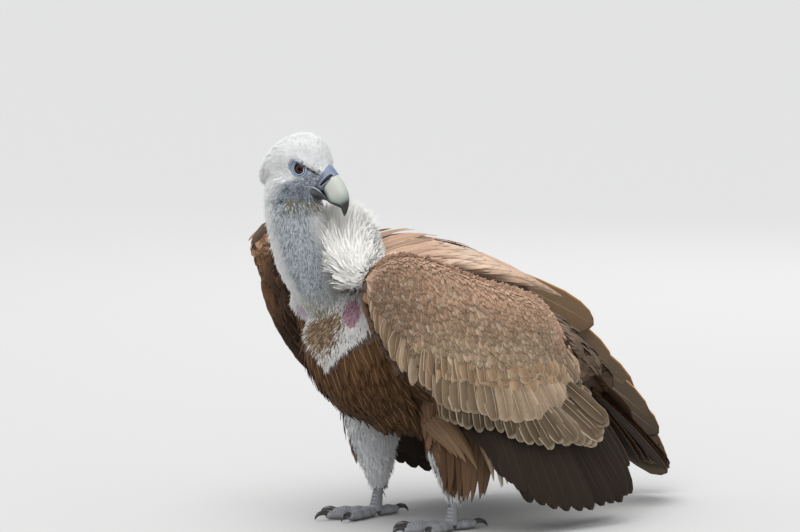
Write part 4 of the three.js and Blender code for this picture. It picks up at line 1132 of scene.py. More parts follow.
def head_tint(places):
    grey = cheek_share(places)[:, None]
    dark = draw.random((len(places), 1)) < 0.6
    bristle = np.where(dark, np.array(colour(66, 72, 80)), np.array(colour(176, 186, 196)))
    r, f, h = to_head(places).T
    brow = (np.exp(-((f - 4) / 16) ** 2 - ((h - 22) / 9) ** 2) * 0.25)[:, None]
    throat = np.clip((479 - np.asarray(places)[:, 2:3]) / 6, 0, 1) * np.clip((f[:, None] - 2) / 8, 0, 1)
    bristle = bristle * (1 - throat) + np.array(colour(124, 119, 92)) * throat
    jawline = (np.exp(-(((h + 33) / 5) ** 2)) * np.clip((f + 16) / 12, 0, 1))[:, None] * (draw.random((len(places), 1)) < 0.8)
    bristle = bristle * (1 - jawline) + np.array(colour(58, 62, 60)) * jawline
    jaw = (np.clip((f - 7) / 6, 0, 1) * np.clip((-20 - h) / 3, 0, 1) * np.clip((h + 36) / 3, 0, 1))[:, None] * 0.75
    bristle = bristle * (1 - jaw) + np.array(colour(72, 78, 78)) * jaw
    tint = (WHITE_DOWN * (1 - brow) + np.array(colour(176, 176, 184)) * brow) * (1 - grey) + bristle * grey
    # Painted shadow: a dark line runs from under the brow ridge towards the bill, where the brow shades the face.
    brow_shadow = np.exp(-(((h - np.interp(f, [-14, 5.4, 14.6, 22.7], [4.5, 7.4, 4.8, 2.2])) / 1.7) ** 2))
    brow_shadow = (brow_shadow * np.clip((f + 12) / 6, 0, 1) * np.clip((27 - f) / 4, 0, 1) * (np.abs(r) > 14))[:, None]
    return tint * (1 - brow_shadow) + np.array(colour(50, 54, 62)) * brow_shadow


def head_flow(places):
    r, f, h = to_head(places).T
    back = np.tile(-head_ahead, (len(places), 1)) + np.outer(np.clip((f + 40) / 60, 0, 1), head_up * 0.5)
    nape = np.clip((-f - 30) / 30, 0, 1)[:, None]
    low = np.clip((-12 - h) / 16, 0, 1)[:, None]
    flow = back * (1 - nape) + np.array([0, 0.1, -1]) * nape
    return flow * (1 - low) + (np.array([0, 0, -1]) - 0.5 * head_ahead) * low


def head_length(places):
    r, f, h = to_head(places).T
    return 3.6 + 3.6 * np.clip((-f + 10) / 50, 0, 1) + 1.2 * np.clip(h / 30, 0, 1) - 1.2 * cheek_share(places)


hr, hf, hh = head_middle.T
eye_away = np.hypot((hf - 1.2) * 0.95, (hh + 0.4) * 1.1)
bare_eye = (eye_away < 14.2) & (np.abs(hr) > 14) & (hh < 7.6)
under_bill = (hf > 14) & (hh < 14) & (hh > -34) & (np.abs(hr) < 17)
white_paint = down_paint("white_down")
face = owned("head", "neck") & (z > 466)
head_skin = face & ~bare_eye & ~under_bill
cheeks = head_skin & (cheek_share(tri_middle) > 0.5)
crown = head_skin & ~cheeks
# Dark tufts along the same line carry the brow's painted shadow.
brow_shadow_gap = np.abs(hh - np.interp(hf, [5.4, 14.6, 22.7], [7.4, 4.8, 2.2]))
brow_shadow = tufts_on((brow_shadow_gap < 3) & (hf > 2) & (hf < 27) & (np.abs(hr) > 10) & owned("head"), 3.2, 3.4, 0.34,
                  lambda places: np.tile(colour(52, 56, 64), (len(places), 1)), head_flow, stand=0.5)
line_r, line_f, line_h = to_head(brow_shadow["roots"]).T
brow_shadow = kept(brow_shadow, np.abs(line_h - np.interp(line_f, [5.4, 14.6, 22.7], [7.4, 4.8, 2.2])) < 1.0)


def lores_tint(places):
    dark = draw.random((len(places), 1)) < 0.6
    return np.where(dark, np.array(colour(78, 76, 78)), np.array(colour(190, 190, 194)))


def lores_flow(places):
    return np.tile(head_ahead * 0.8 - head_up * 0.7, (len(places), 1))


lores = owned("head") & (hf > 14) & (hf < 36) & (hh > -20) & (hh < 10) & (np.abs(hr) > 9)
head_down = coat_piece("head_down", [
    brow_shadow,
    tufts_on(lores, 0.3, 4.2, 0.22, lores_tint, lores_flow, stand=0.55),
    tufts_on(crown, 0.5, head_length, 0.7, head_tint, head_flow, stand=0.4),
    tufts_on(cheeks & (z > 479), 0.45, 3.0, 0.3, head_tint, head_flow, stand=0.45),
    tufts_on(cheeks & (z <= 479), 0.35, 5.5, 0.4, head_tint, head_flow, stand=0.5),
], white_paint, crisp=False)
neck_skin = owned("neck") & (z > 318) & (z <= 470) & ~((z < 430) & (y > -209))
neck_down = coat_piece("neck_down", [
    tufts_on(neck_skin, 0.44, 6.4, 0.55, neck_tint, neck_flow, stand=0.36),
    tufts_on(neck_skin, 0.06, 9, 0.36, neck_tint, neck_flow, stand=0.55),
], white_paint, crisp=False)
ruff_under = coat_piece("ruff_plumes", [ruff_plumes(2600, 3.1, 0.98, 1.8, shape=LANCE, thick=0.4)], white_paint,
                        crisp=False)
ruff_over = coat_piece("ruff_strands", [ruff_plumes(5800, 1.15, 1.02, 3.0, shape=LOCK, thick=0.4)], white_paint,
                       crisp=False)
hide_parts("ruff")


CROP = np.array([20, -227, 299])
PINK_PATCHES = [((48, -196, 315), 13.5, 26)]


def near_spot(places, spot, wide, high):
    gap = places - np.asarray(spot)
    return np.hypot(np.hypot(gap[:, 0], gap[:, 1]) / wide, gap[:, 2] / high)


def chest_tint(places):
    white = np.tile(colour(240, 238, 236), (len(places), 1)) * (0.92 + 0.08 * draw.random((len(places), 1)))
    blush = np.clip(1.4 - near_spot(places, (-44, -220, 316), 12, 30), 0, 0.7)[:, None]
    white = white * (1 - blush) + np.array(colour(226, 204, 220)) * blush
    crop = np.clip(1.5 - near_spot(places, CROP, 25, 36), 0, 1)[:, None]
    brown = np.where(draw.random((len(places), 1)) < 0.7, np.array(colour(112, 86, 60)), np.array(colour(178, 154, 126)))
    return np.where(draw.random((len(places), 1)) < crop * 1.4, brown, white)


def chest_flow(places):
    crop = np.clip(1.6 - near_spot(places, CROP, 25, 36), 0, 1)
    return np.stack([0.2 * np.sign(places[:, 0] - 20) * (1 - crop) - 0.7 * crop, 0.15 + 0 * crop, -1 + 0 * crop], axis=1)


def patch_tint(places):
    dark = draw.random((len(places), 1)) < 0.6
    return np.where(dark, np.array(colour(98, 62, 84)), np.array(colour(196, 158, 178)))


bare_patch = np.zeros(len(tri_middle), bool)
for spot, wide, high in PINK_PATCHES:
    bare_patch |= near_spot(tri_middle, spot, wide, high) < 1
chest_skin = owned("torso") & CHEST_WHITE & ~bare_patch
chest_down = coat_piece("chest_down", [
    tufts_on(chest_skin, 0.5, 10, 0.65, chest_tint, chest_flow, stand=0.24),
    tufts_on(bare_patch & (z < 345), 0.28, 3.0, 0.5, patch_tint, chest_flow, stand=0.35),
    tufts_on(owned("neck") & (z <= 326) & ~bare_patch, 0.42, 11, 0.6, neck_tint, neck_flow, stand=0.3),
], white_paint, crisp=False)


# ---- Leg feathers
# White down covers the insides and shins of the legs; long brown feathers hang over the outsides and
# backs of the thighs like loose trousers, down to the heel.
def leg_tint(places):
    return np.tile(colour(240, 241, 243), (len(places), 1)) * (0.92 + 0.08 * draw.random((len(places), 1)))


def leg_flow(places):
    return np.tile([0.0, 0.16, -1.0], (len(places), 1))


thighs = owned("thigh_left", "thigh_right")
outer_thigh = owned("thigh_left") & ((tri_facing[:, 0] > 0.1) | (z > 126)) & (z > 56)
outer_thigh |= owned("thigh_right") & (tri_facing[:, 0] < -0.1) & (z > 118)


def trouser_tint(places):
    warm, tan = np.array(colour(96, 72, 54)), np.array(colour(130, 104, 82))
    back = np.clip((places[:, 1:2] + 30) / 60, 0, 1)
    return warm * (1 - back) + tan * back


def trouser_flow(places):
    return np.tile([0.0, 0.34, -1.0], (len(places), 1))


leg_down = coat_piece("leg_down", [
    tufts_on(thighs & ~outer_thigh, 0.23, 13, 1.0, leg_tint, leg_flow, stand=0.3),
], white_paint, crisp=False)
long_trousers = [
    span_row(9, [[110, -88, 150], [118, -60, 160], [116, -34, 158], [104, -10, 150]],
             [[98, -80, 58], [110, -58, 46], [110, -34, 44], [104, -10, 50]], 10, (1, 0, 0.1),
             [colour(88, 66, 49), colour(118, 94, 73)], bulge=8, roll=0.12, shape=LANCE, curve=-4, step=0.4),
    span_row(7, [[118, -44, 162], [120, -26, 158], [116, -8, 148]], [[126, -14, 74], [126, 2, 62], [120, 16, 70]], 9, (1, 0.1, 0.1),
             [colour(160, 130, 102), colour(206, 190, 170), colour(222, 214, 204)], bulge=6, roll=0.12, shape=LANCE, curve=-5,
             step=0.5),
    span_row(6, [[114, -122, 158], [120, -96, 178]], [[120, -78, 118], [128, -36, 90]], 8, (1, 0, 0.1),
             [colour(128, 102, 80), colour(154, 126, 100), colour(138, 110, 86)], bulge=8, roll=0.16, shape=LANCE, curve=-9,
             step=0.7),
]
right_trousers = [
    span_row(8, [[-104, -112, 150], [-114, -86, 158], [-108, -52, 152]], [[-94, -96, 116], [-106, -74, 92], [-104, -38, 88]], 10,
             (-1, 0, 0.1), [colour(100, 69, 46), colour(132, 98, 70)], bulge=8, roll=-0.12, shape=LANCE, step=0.4),
]
trousers = coat_piece("trouser_feathers", [
    feathers_on(outer_thigh, 10, 50, 9, trouser_tint, trouser_flow, lift=4), *long_trousers, *right_trousers,
], breast_paint)


# ---- Skin's own colours
# Between the feathers and the down the skin shows: brown under the coat, bluish grey on the cheeks and
# throat, pink at the bare patches of the crop and pale blue round the eyes.
def mixed(one, two, share):
    return np.asarray(one) * (1 - share[..., None]) + np.asarray(two) * share[..., None]


def skin_tints(places, owners):
    tints = np.tile(colour(74, 54, 40), (len(places), 1))
    on_neck = owners == SKIN_PARTS.index("neck")
    on_head = (owners == SKIN_PARTS.index("head")) | (on_neck & (places[:, 2] > 468))
    on_ruff_core = owners == SKIN_PARTS.index("ruff")
    tints[on_ruff_core] = colour(214, 210, 200)
    grey = throat_share(places)[:, None]
    neck = np.array(colour(206, 210, 212)) * (1 - grey) + np.array(colour(168, 178, 186)) * grey
    tints = np.where(on_neck[:, None], neck, tints)
    r, f, h = to_head(places).T
    cheek = cheek_share(places)[:, None]
    slate = mixed(colour(172, 180, 194), colour(104, 112, 122), np.clip((-14 - h) / 16, 0, 1) * np.clip((30 - f) / 8, 0, 1))
    head = np.array(colour(214, 215, 218)) * (1 - cheek) + slate * cheek
    ring = np.clip((16 - np.hypot(f * 0.95, h * 1.1)) / 3, 0, 1)[:, None] * (np.abs(r) > 15)[:, None]
    head = head * (1 - ring) + np.array(colour(118, 132, 148)) * ring
    tints = np.where(on_head[:, None], head, tints)
    x, y, z = places.T
    chest = (owners == 0) & (y < -130) & (z > np.interp(x, *CHEST_EDGE) + 12)
    tints[chest] = colour(216, 206, 206)
    for spot, wide, high in PINK_PATCHES:
        share = (np.clip((1.25 - near_spot(places, spot, wide, high)) / 0.35, 0, 1) * ((owners == 0) | on_neck))[:, None]
        tints = tints * (1 - share) + np.array(colour(150, 112, 122)) * share
    white_leg = ((owners == 3) | (owners == 4)) & (z < 130)
    tints[white_leg] = colour(190, 190, 194)
    return tints * (1 + 0.06 * draw.normal(size=(len(places), 1)))


skin_colours = np.concatenate([skin_tints(skin_places, skin_owner), np.ones((skin_count, 1))], axis=1)
skin.data.attributes.new("tint", "FLOAT_COLOR", "POINT").data.foreach_set("color", skin_colours.ravel())
skin_paint = bpy.data.materials.new("vulture_skin")
skin_paint.use_nodes = True
tree = skin_paint.node_tree
skin_shader = tree.nodes["Principled BSDF"]
skin_shader.inputs["Roughness"].default_value = 0.62
skin_tint = tree.nodes.new("ShaderNodeAttribute")
skin_tint.attribute_name = "tint"
where = tree.nodes.new("ShaderNodeTexCoord")
pores = tree.nodes.new("ShaderNodeTexNoise")
pores.inputs["Scale"].default_value = 260
pores.inputs["Detail"].default_value = 4
tree.links.new(where.outputs["Object"], pores.inputs["Vector"])
mottle = reckon(tree, "MULTIPLY_ADD", pores.outputs["Fac"], 0.9, 0.55)
scaled = tree.nodes.new("ShaderNodeVectorMath")
scaled.operation = "SCALE"
tree.links.new(skin_tint.outputs["Color"], scaled.inputs[0])
tree.links.new(mottle, scaled.inputs["Scale"])
tree.links.new(scaled.outputs[0], skin_shader.inputs["Base Color"])
folds = tree.nodes.new("ShaderNodeBump")
folds.inputs["Strength"].default_value = 0.5
folds.inputs["Distance"].default_value = 0.0012
tree.links.new(pores.outputs["Fac"], folds.inputs["Height"])
tree.links.new(folds.outputs[0], skin_shader.inputs["Normal"])
skin.data.materials.clear()
skin.data.materials.append(skin_paint)


# ---- Bill and cere
# The upper bill is deep and hooked, pale with a dark tip, and shuts over the narrower dark lower one.
# The bluish cere swells over its root, with a long nostril slit close to its front edge.
# ahead and up of the ridge, then of the lower edge, then the half width
UPPER_BILL = [
    [37.1, 9.7, 34.1, -15.3, 7], [41.6, 10.2, 38.1, -15.3, 8.5], [44.7, 10.7, 40.7, -15.5, 12.4],
    [51.1, 9.1, 46.1, -19.3, 12], [58.1, 6.3, 52.5, -24.3, 11], [65.1, 1.7, 59.1, -25, 9.8],
    [71.1, -3.1, 65.1, -23.7, 8.4], [75.7, -8.7, 69.7, -23.7, 6.8], [78.9, -15.3, 72.7, -26.3, 5.2],
    [80.7, -21.9, 75.1, -29.9, 3.8], [81.5, -27.9, 77.5, -32.9, 2.4], [81.3, -32.9, 79.3, -35.3, 1.2],
    [80.7, -36.7, 80.3, -37.3, 0.2],
]
LOWER_BILL = [
    [11.1, -25.3, 11.1, -36.3, 16.4], [19.1, -22.1, 21.1, -36.8, 15.6], [28.1, -20.3, 32.1, -35.1, 13],
    [37.1, -20.1, 41.1, -31.3, 11.4], [46.1, -22.7, 49.1, -29.7, 9.8], [53.1, -25.5, 55.1, -29.9, 8.2],
    [61.1, -25.7, 62.1, -29.5, 6.4], [67.1, -25.5, 68.1, -28.9, 4.6], [70.9, -26.5, 71.5, -28.7, 2.8],
    [73.7, -27.7, 73.9, -28.2, 0.3],
]
CERE = [
    [15.1, 9.7, 13.1, -18.3, 15], [21.1, 13.2, 18.1, -18.8, 15.8], [28.1, 17.5, 24.1, -18.1, 15.9],
    [35.1, 16.5, 30.1, -17.5, 15.4], [41.1, 13.7, 35.1, -16.9, 14.5], [44.7, 11.9, 39.1, -15.5, 13.7],
    [45.5, 10.5, 40.5, -14.3, 12.5], [44.1, 8.7, 40.1, -12.3, 11],
]
# How far down a section, and how wide there; the last two go back under it.
DOME = [(0, 0), (0.02, 0.2), (0.07, 0.4), (0.15, 0.58), (0.27, 0.76), (0.42, 0.91), (0.58, 0.99), (0.75, 1), (0.9, 0.95),
        (1, 0.87), (0.97, 0.6)]
KEEL = [(0.04, 0.5), (0, 0.9), (0.06, 0.98), (0.2, 1), (0.4, 0.97), (0.6, 0.87), (0.78, 0.68), (0.91, 0.42), (0.98, 0.18), (1, 0)]


def swept(stations, section, count):
    """Rings of places round a bill-like form, in the head's own axes."""
    rows = smooth_line(stations, np.linspace(0, 1, count) ** 0.9)
    down = np.array([at for at, wide in section])
    wide = np.array([wide for at, wide in section])
    middle = rows[:, None, :2] + (rows[:, 2:4] - rows[:, :2])[:, None] * down[None, :, None]
    half = rows[:, 4:5] * wide[None]
    right = np.stack([half, middle[..., 0], middle[..., 1]], axis=2)
    left = (right * [-1, 1, 1])[:, ::-1]
    return np.concatenate([right, left[:, 1 if wide[-1] == 0 else 0:len(down) - (1 if wide[0] == 0 else 0)]], axis=1)


def ring_piece(name, rings, tints, paint, carry=from_head, capped=True):
    """A smooth surface through rings of places, its ends capped or open; tints has a colour for each place."""
    count, size = rings.shape[:2]
    places = carry(rings.reshape(-1, 3)) if carry else rings.reshape(-1, 3)
    ends = [places[:size].mean(axis=0), places[-size:].mean(axis=0)]
    i, j = np.meshgrid(np.arange(count - 1), np.arange(size), indexing="ij")
    k = (j + 1) % size
    faces = np.stack([i * size + j, i * size + k, (i + 1) * size + k, (i + 1) * size + j], axis=-1).reshape(-1, 4).tolist()
    if capped:
        faces += [(count * size, (j + 1) % size, j) for j in range(size)]
        last = (count - 1) * size
        faces += [(count * size + 1, last + j, last + (j + 1) % size) for j in range(size)]
        places = np.concatenate([places, ends])
    mesh = bpy.data.meshes.new(name)
    mesh.from_pydata(in_frame(places).tolist(), [], faces)
    uv = np.stack([np.arange(len(places)) // size / (count + 1), np.arange(len(places)) % size / size], axis=1)
    corners = np.zeros(len(mesh.loops), np.int32)
    mesh.loops.foreach_get("vertex_index", corners)
    mesh.uv_layers.new(name="OFBake").data.foreach_set("uv", uv[corners].ravel())
    tint = np.ones((len(places), 4))
    tint[:count * size, :3] = tints.reshape(-1, 3)
    tint[count * size:, :3] = tints.reshape(-1, 3)[[0, -1][:len(places) - count * size]]
    mesh.attributes.new("tint", "FLOAT_COLOR", "POINT").data.foreach_set("color", tint.ravel())
    mesh.materials.append(paint)
    piece = bpy.data.objects.new(name, mesh)
    bpy.context.scene.collection.objects.link(piece)
    bpy.ops.object.select_all(action="DESELECT")
    piece.select_set(True)
    bpy.context.view_layer.objects.active = piece
    bpy.ops.object.mode_set(mode="EDIT")
    bpy.ops.mesh.select_all(action="SELECT")
    bpy.ops.mesh.normals_make_consistent(inside=False)
    bpy.ops.object.mode_set(mode="OBJECT")
    bpy.ops.object.shade_smooth()
    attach(piece, "root")
    return piece


def hard_paint(name, rough, scale, mottle, bump, coat=0.0, gloss=0.5):
    """Horn, scales or bare skin: its own tint with fine mottling and grain."""
    paint = bpy.data.materials.new(name)
    paint.use_nodes = True
    tree = paint.node_tree
    shader = tree.nodes["Principled BSDF"]
    shader.inputs["Roughness"].default_value = rough
    shader.inputs["Coat Weight"].default_value = coat
    shader.inputs["Specular IOR Level"].default_value = gloss
    tint = tree.nodes.new("ShaderNodeAttribute")
    tint.attribute_name = "tint"
    where = tree.nodes.new("ShaderNodeTexCoord")
    noise = tree.nodes.new("ShaderNodeTexNoise")
    noise.inputs["Scale"].default_value = scale
    noise.inputs["Detail"].default_value = 5
    tree.links.new(where.outputs["Object"], noise.inputs["Vector"])
    scaled = tree.nodes.new("ShaderNodeVectorMath")
    scaled.operation = "SCALE"
    tree.links.new(tint.outputs["Color"], scaled.inputs[0])
    tree.links.new(reckon(tree, "MULTIPLY_ADD", noise.outputs["Fac"], 2 * mottle, 1 - mottle), scaled.inputs["Scale"])
    tree.links.new(scaled.outputs[0], shader.inputs["Base Color"])
    relief = tree.nodes.new("ShaderNodeBump")
    relief.inputs["Strength"].default_value = 0.6
    relief.inputs["Distance"].default_value = bump
    tree.links.new(noise.outputs["Fac"], relief.inputs["Height"])
    tree.links.new(relief.outputs[0], shader.inputs["Normal"])
    return paint


upper = swept(UPPER_BILL, DOME, 70)
r, f, h = np.moveaxis(upper, 2, 0)
# How far a place lies beyond the slanting line where the dark tip begins.
beyond = (f - 69) * 0.832 - (h + 24) * 0.555
tip_share = np.clip((beyond + 2) / 5, 0, 1)
edge_share = np.zeros_like(f)
edge_share[:, 8:-8] = 0.8
horn = mixed(colour(176, 180, 171), colour(108, 126, 121), np.clip((beyond + 19) / 19, 0, 1) ** 1.6 * 0.85)
horn = mixed(horn, colour(96, 104, 104), edge_share * np.clip((64 - f) / 14, 0.35, 1))
horn = mixed(horn, colour(28, 30, 32), tip_share)
horn_paint = hard_paint("bill_horn", 0.38, 120, 0.07, 0.0003, coat=0.25)
bill_upper = ring_piece("bill_upper_horn", upper, horn, horn_paint)
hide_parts("bill_upper")
lower = swept(LOWER_BILL, KEEL, 60)
r, f, h = np.moveaxis(lower, 2, 0)
jaw = mixed(colour(100, 106, 112), colour(52, 57, 58), np.clip((f - 16) / 18, 0, 1))
bill_lower = ring_piece("bill_lower_horn", lower, jaw, horn_paint)
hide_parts("bill_lower")

# The nostril is pressed into the cere as a slit, wider above than below.
NOSTRIL_TOP = np.array([41.4, 6.2])
NOSTRIL_FOOT = np.array([35.0, -10.4])
cere = swept(CERE, [(a, w) for a, w in zip(np.linspace(0, 1, 41), np.interp(np.linspace(0, 1, 41), *zip(*DOME[:10])))], 70)
r, f, h = np.moveaxis(cere, 2, 0)
slit = NOSTRIL_FOOT - NOSTRIL_TOP
along = np.clip(((f - NOSTRIL_TOP[0]) * slit[0] + (h - NOSTRIL_TOP[1]) * slit[1]) / (slit @ slit), 0, 1)
away = np.hypot(f - NOSTRIL_TOP[0] - along * slit[0], h - NOSTRIL_TOP[1] - along * slit[1])
pit = np.exp(-((away / (3.0 - 1.9 * along)) ** 4)) * (np.abs(r) > 4)
lip = np.exp(-(((away - 4.1 + 1.9 * along) / 0.8) ** 2)) * (np.abs(r) > 4)
cere[..., 0] = r - np.sign(r) * (3.4 * pit - 0.5 * lip)
blue = mixed(colour(108, 122, 146), colour(78, 86, 98), np.clip((6 - h) / 14, 0, 1))
blue = mixed(blue, colour(120, 116, 122), np.clip((25 - f) / 8, 0, 1))
blue = mixed(blue, colour(168, 172, 182), lip * 0.5)
# Painted shade: the slit's hollow is darkened nearly to black.
blue = mixed(blue, colour(14, 14, 18), np.clip(pit * 1.8 - 0.35, 0, 1))
cere_paint = hard_paint("cere_skin", 0.45, 420, 0.16, 0.0006)
cere_piece = ring_piece("cere_skin", cere, blue, cere_paint)
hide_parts("cere")

# A pale fold runs from the corner of the mouth along the lip.
GAPE = [[19.5, 12, -23.4], [18.8, 16, -21.2], [17.8, 22, -19.4], [16, 29, -18.2], [14.6, 36, -18.2], [13.4, 41, -19.4]]
for turn, name in ((1, "gape_fold_right"), (-1, "gape_fold_left")):
    line = smooth_line(GAPE, np.linspace(0, 1, 24)) * [turn, 1, 1]
    seat = []
    for p in line:
        near, normal, face, distance = skin_tree.find_nearest(Vector(in_frame(from_head(p))))
        seat.append(to_head(np.array(near) * 1000 - frame_shift) + (np.array(normal) @ head_axes.T) * 0.4)
    hold = np.clip((0.75 - np.linspace(0, 1, 24)) / 0.45, 0, 1)[:, None]
    seat = np.array(seat) * hold + line * (1 - hold)
    run = unit(np.gradient(seat, axis=0))
    side = unit(np.cross(run, [0, 0, 1.0]))
    up = np.cross(side, run)
    turns = np.linspace(0, 2 * math.pi, 10, endpoint=False)
    thick = 0.95 * np.sin(np.linspace(0.25, math.pi - 0.15, 24))[:, None, None]
    rings = seat[:, None] + thick * (np.cos(turns)[None, :, None] * side[:, None] * 1.3 + np.sin(turns)[None, :, None] * up[:, None])
    ring_piece(name, rings, np.broadcast_to(colour(176, 184, 190), rings.shape), cere_paint)


# ---- Eyes and lids
# Each eye is a wet brown ball, deep in its socket, with ringed lids of bare bluish skin and a straight
# brow that cuts off its top.
EYE_SIDE = 24.5
EYE_BALL = 9.2
GAZE = unit(np.array([0.88, 0.42, 0.1]))
GAZE_RAMP = [(0, colour(6, 4, 4)), (0.26, colour(6, 4, 4)), (0.31, colour(47, 31, 24)), (0.48, colour(82, 55, 40)),
             (0.6, colour(56, 38, 29)), (0.65, colour(18, 14, 14)), (1, colour(14, 12, 14))]
eye_paint = hard_paint("vulture_eye", 0.06, 500, 0.2, 0.0, coat=0.0, gloss=0.08)
lid_paint = hard_paint("lid_skin", 0.4, 380, 0.1, 0.0005, coat=0.1)
# from the opening's edge out: how far over the lid, how high over the ball's middle, and the colour
LID = [
    (0.0, 3.8, colour(14, 16, 20)), (0.05, 5.2, colour(40, 46, 56)), (0.09, 5.7, colour(150, 162, 184)),
    (0.2, 5.8, colour(192, 202, 220)), (0.25, 5.3, colour(70, 84, 104)), (0.31, 5.0, colour(24, 32, 44)),
    (0.37, 5.3, colour(56, 76, 98)), (0.44, 6.0, colour(136, 166, 192)), (0.56, 6.1, colour(160, 184, 206)),
    (0.64, 5.6, colour(104, 128, 148)), (0.72, 5.8, colour(116, 128, 140)), (0.85, 6.2, colour(136, 144, 154)),
    (1.0, 6.3, colour(132, 138, 148)),
]
lid_share, lid_high = (np.array([row[k] for row in LID]) for k in (0, 1))
for turn, name in ((1, "right"), (-1, "left")):
    gaze = GAZE * [turn, 1, 1]
    fore = unit(np.cross([0, 0, 1.0], gaze)) * -turn
    over = np.cross(gaze, fore) * turn
    over = over * np.sign(over[2])
    polar = np.linspace(0.02, 0.62 * math.pi, 44)
    round_turns = np.linspace(0, 2 * math.pi, 56, endpoint=False)
    dome = (np.cos(polar)[:, None, None] * gaze + np.sin(polar)[:, None, None]
            * (np.cos(round_turns)[None, :, None] * fore + np.sin(round_turns)[None, :, None] * over))
    gaze_share = np.sin(np.minimum(polar, math.pi / 2)) * EYE_BALL / 9.2
    ball_tint = np.stack([np.interp(gaze_share, [g for g, c in GAZE_RAMP], [c[k] for g, c in GAZE_RAMP]) for k in range(3)], axis=1)
    streak = 1 + 0.22 * draw.normal(size=(1, 56, 1)) * ((gaze_share > 0.27) & (gaze_share < 0.62))[:, None, None]
    socket = np.array([turn * EYE_SIDE, 1.2, -0.4])
    eyeball = ring_piece("eyeball_" + name, socket + EYE_BALL * dome, ball_tint[:, None] * streak, eye_paint)
    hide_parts("eye_" + name)

    # The lids: rings about the axis of the eye, from the opening's edge out to the skin.
    axis = unit(np.array([turn * 1.0, 0.12, 0.0]))
    ahead = unit(np.array([-0.12 * turn, 1.0, 0]))
    rise = np.array([0, 0, 1.0])
    turns = np.linspace(0, 2 * math.pi, 80, endpoint=False)
    opening = np.minimum(7.0, 5.0 / np.maximum(np.sin(turns + 0.1), 0.01))
    outer = np.minimum(14.6 + 1.4 * np.cos(turns), 10 / np.maximum(np.sin(turns + 0.1), 0.01))
    q = np.interp(np.linspace(0, 1, 46), np.linspace(0, 1, len(LID)), lid_share)
    high = np.interp(q, lid_share, lid_high)
    reach = opening[None] + (outer - opening)[None] * q[:, None]
    brow = np.clip(np.sin(turns), 0, 1)[None] ** 0.7 * (2.3 * np.exp(-(((q[:, None] - 0.2) / 0.3) ** 2)))
    spots = (socket + reach[..., None] * (np.cos(turns)[None, :, None] * ahead + np.sin(turns)[None, :, None] * rise)
             + (high[:, None] + brow)[..., None] * axis)
    seat = np.zeros(spots.shape[1:])
    for k, p in enumerate(from_head(spots[-1])):
        near, normal, face, distance = skin_tree.find_nearest(Vector(in_frame(p)))
        seat[k] = to_head(np.array(near) * 1000 - frame_shift) - (np.array(normal) @ head_axes.T) * 0.5
    gap = seat - spots[-1]
    spots = spots + gap[None] * np.clip((q - 0.35) / 0.65, 0, 1)[:, None, None] ** 1.5
    lid_tint = np.stack([np.interp(q, lid_share, [c[k] for s, t, c in LID]) for k in range(3)], axis=1)
    lid_tint = np.repeat(lid_tint[:, None], len(turns), axis=1)
    shade = np.clip(np.sin(turns) * 2.2 - 0.7, 0, 1)[None] * np.clip((0.6 - q[:, None]) / 0.2, 0, 1)
    lid_tint = mixed(lid_tint, colour(38, 42, 50), shade)
    rear = np.clip(-1.3 * np.cos(turns) - 0.3, 0, 1) * np.clip(np.sin(turns) + 0.7, 0, 1)
    lid_tint = mixed(lid_tint, colour(44, 60, 72), 0.75 * rear[None] * np.clip((q[:, None] - 0.5) / 0.15, 0, 1))
    ring_piece("lids_" + name, spots, lid_tint, lid_paint, capped=False)


# ---- Feet
# Bare grey tarsi and toes with overlapping scutes above and soft pads below, each toe with a blunt
# curved claw: three toes ahead and a short one behind.
# toe, degrees out from straight ahead, length to the claw
TOES = [("inner", -24, 62), ("middle", 2, 78), ("outer", 30, 60), ("hind", 176, 38)]
TOE_RADIUS = 8.2
SCUTE = 4.3
foot_paint = hard_paint("foot_scales", 0.6, 700, 0.22, 0.0007)
claw_paint = hard_paint("claw_horn", 0.32, 300, 0.12, 0.0003, coat=0.3)
SCUTE_GREY = np.array(colour(136, 138, 142))
GROOVE_GREY = np.array(colour(64, 64, 68))
PAD_GREY = np.array(colour(112, 108, 104))
turns = np.linspace(0, 2 * math.pi, 32, endpoint=False)


def tube(line, ahead, right, half, high):
    """Rings about a line of places: half wide along right, high along the third way."""
    up = np.cross(right, ahead)
    return (line[:, None] + (half[:, None] * np.cos(turns))[..., None] * right + (high[:, None] * np.sin(turns))[..., None] * up)


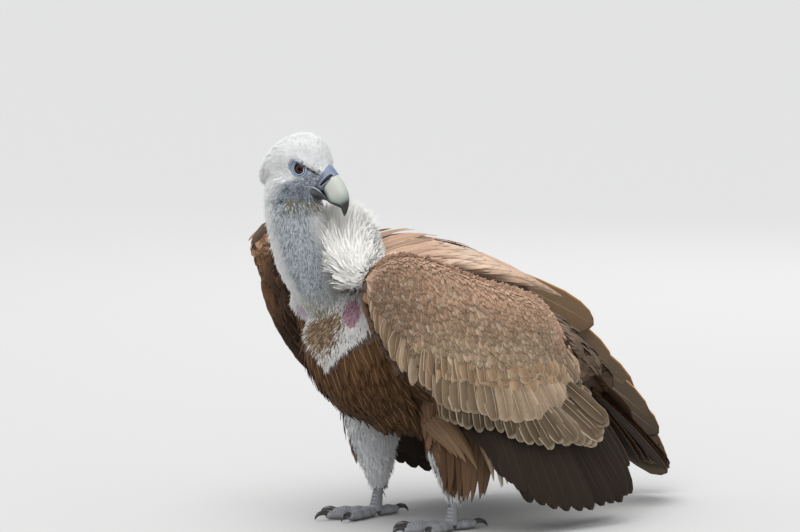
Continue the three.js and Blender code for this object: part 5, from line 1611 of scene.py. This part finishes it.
for side, foot, leg in ((1, LEFT_FOOT, "left"), (-1, RIGHT_FOOT, "right")):
    # The tarsus, with a row of wide scutes down its front.
    s = np.linspace(0, 1, 72)
    z_line = 66 - 58 * s
    half = np.interp(s, [0, 0.45, 0.85, 1], [7.4, 6.4, 7.8, 9.6])
    high = np.interp(s, [0, 0.45, 0.85, 1], [8.6, 7.4, 9.6, 12.4])
    line = np.stack([foot[0] + 0 * s, foot[1] + np.interp(s, [0, 0.45, 1], [6, 5, 0]), z_line], axis=1)
    groove = np.exp(-((((z_line / 5.2) % 1) - 0.5) / 0.13) ** 2)
    front = np.clip(-np.sin(turns) * 1.6 - 0.3, 0, 1)
    cut = 0.7 * groove[:, None] * front
    rings = line[:, None] + np.stack([(half[:, None] - cut) * np.cos(turns), (high[:, None] - cut) * np.sin(turns),
                                      np.zeros((72, 32))], axis=2)
    tints = mixed(SCUTE_GREY, GROOVE_GREY, groove[:, None] * front * 0.9 + 0.12 * (1 - front))
    tarsus = ring_piece("tarsus_" + leg, rings, tints, foot_paint, carry=None)
    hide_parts(f"leg_{leg}_tarsus")
    for toe, heading, length in TOES:
        turn = math.radians(heading) * side
        ahead = np.array([math.sin(turn), -math.cos(turn), 0])
        right = np.array([-ahead[1], ahead[0], 0]) * -1
        # The toe swells at its joints; its lower side spreads flat on the floor as pads.
        reach = np.linspace(6, length + 1, 84)
        t = (reach - 6) / (length - 5)
        joints = 3 if length > 50 else 2
        swell = 0.93 + 0.09 * np.cos(2 * math.pi * joints * t)
        half = TOE_RADIUS * swell * np.interp(t, [0, 0.1, 0.8, 0.94, 1], [0.85, 1, 0.94, 0.72, 0.5])
        line = np.array([foot[0], foot[1], 0]) + reach[:, None] * ahead + np.array([0, 0, 7.2])
        rings = tube(line, ahead, right, half, half * 0.98)
        groove = np.exp(-((((reach / SCUTE) % 1) - 0.5) / 0.12) ** 2) * (t > 0.12)
        above = np.clip(rings[..., 2] - 8.5, 0, 3) / 3
        rings[..., 2] -= 0.75 * groove[:, None] * above
        rings[..., 2] = np.where(rings[..., 2] < 1.6, 0.25 + np.maximum(rings[..., 2], -1.2) * 0.12 + 0.2, rings[..., 2])
        below = np.clip((5 - rings[..., 2]) / 4, 0, 1)
        tints = mixed(SCUTE_GREY, GROOVE_GREY, groove[:, None] * above * 0.9)
        tints = mixed(tints, PAD_GREY, below)
        skin_of_toe = ring_piece(f"toe_{leg}_{toe}_scales", rings, tints, foot_paint, carry=None)
        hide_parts(f"toe_{leg}_{toe}")
        # The claw curves down to the floor and narrows to a blunt point.
        s = np.linspace(0, 1, 26)
        out = length - 4 + 23.5 * np.sin(s * 1.35) / math.sin(1.35)
        drop = np.interp(s, [0, 0.3, 0.6, 0.85, 1], [8.6, 11.2, 9.6, 5.4, 2.0])
        line = np.array([foot[0], foot[1], 0]) + out[:, None] * ahead + drop[:, None] * [0, 0, 1]
        run = unit(np.gradient(line, axis=0))
        up = np.cross(right, run)
        up = up * np.sign(up[:, 2:3] + 1e-6)
        thick = np.interp(s, [0, 0.25, 0.6, 0.9, 1], [4.0, 3.8, 2.9, 1.4, 0.4])
        rings = (line[:, None] + (0.82 * thick[:, None] * np.cos(turns))[..., None] * right
                 + (thick[:, None] * np.sin(turns))[..., None] * up[:, None])
        rings[..., 2] = np.maximum(rings[..., 2], 0.3)
        tints = np.broadcast_to(mixed(colour(62, 60, 58), colour(30, 29, 30), s)[:, None], rings.shape)
        claw = ring_piece(f"claw_{leg}_{toe}_horn", rings, tints, claw_paint, carry=None)
        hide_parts(f"claw_{leg}_{toe}")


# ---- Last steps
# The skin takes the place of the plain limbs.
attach(skin, "root")
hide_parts("torso", "neck", "head", "leg_left_thigh", "leg_right_thigh", "wing_left_arm", "wing_right_arm",
            "wing_left_hand", "wing_right_hand")
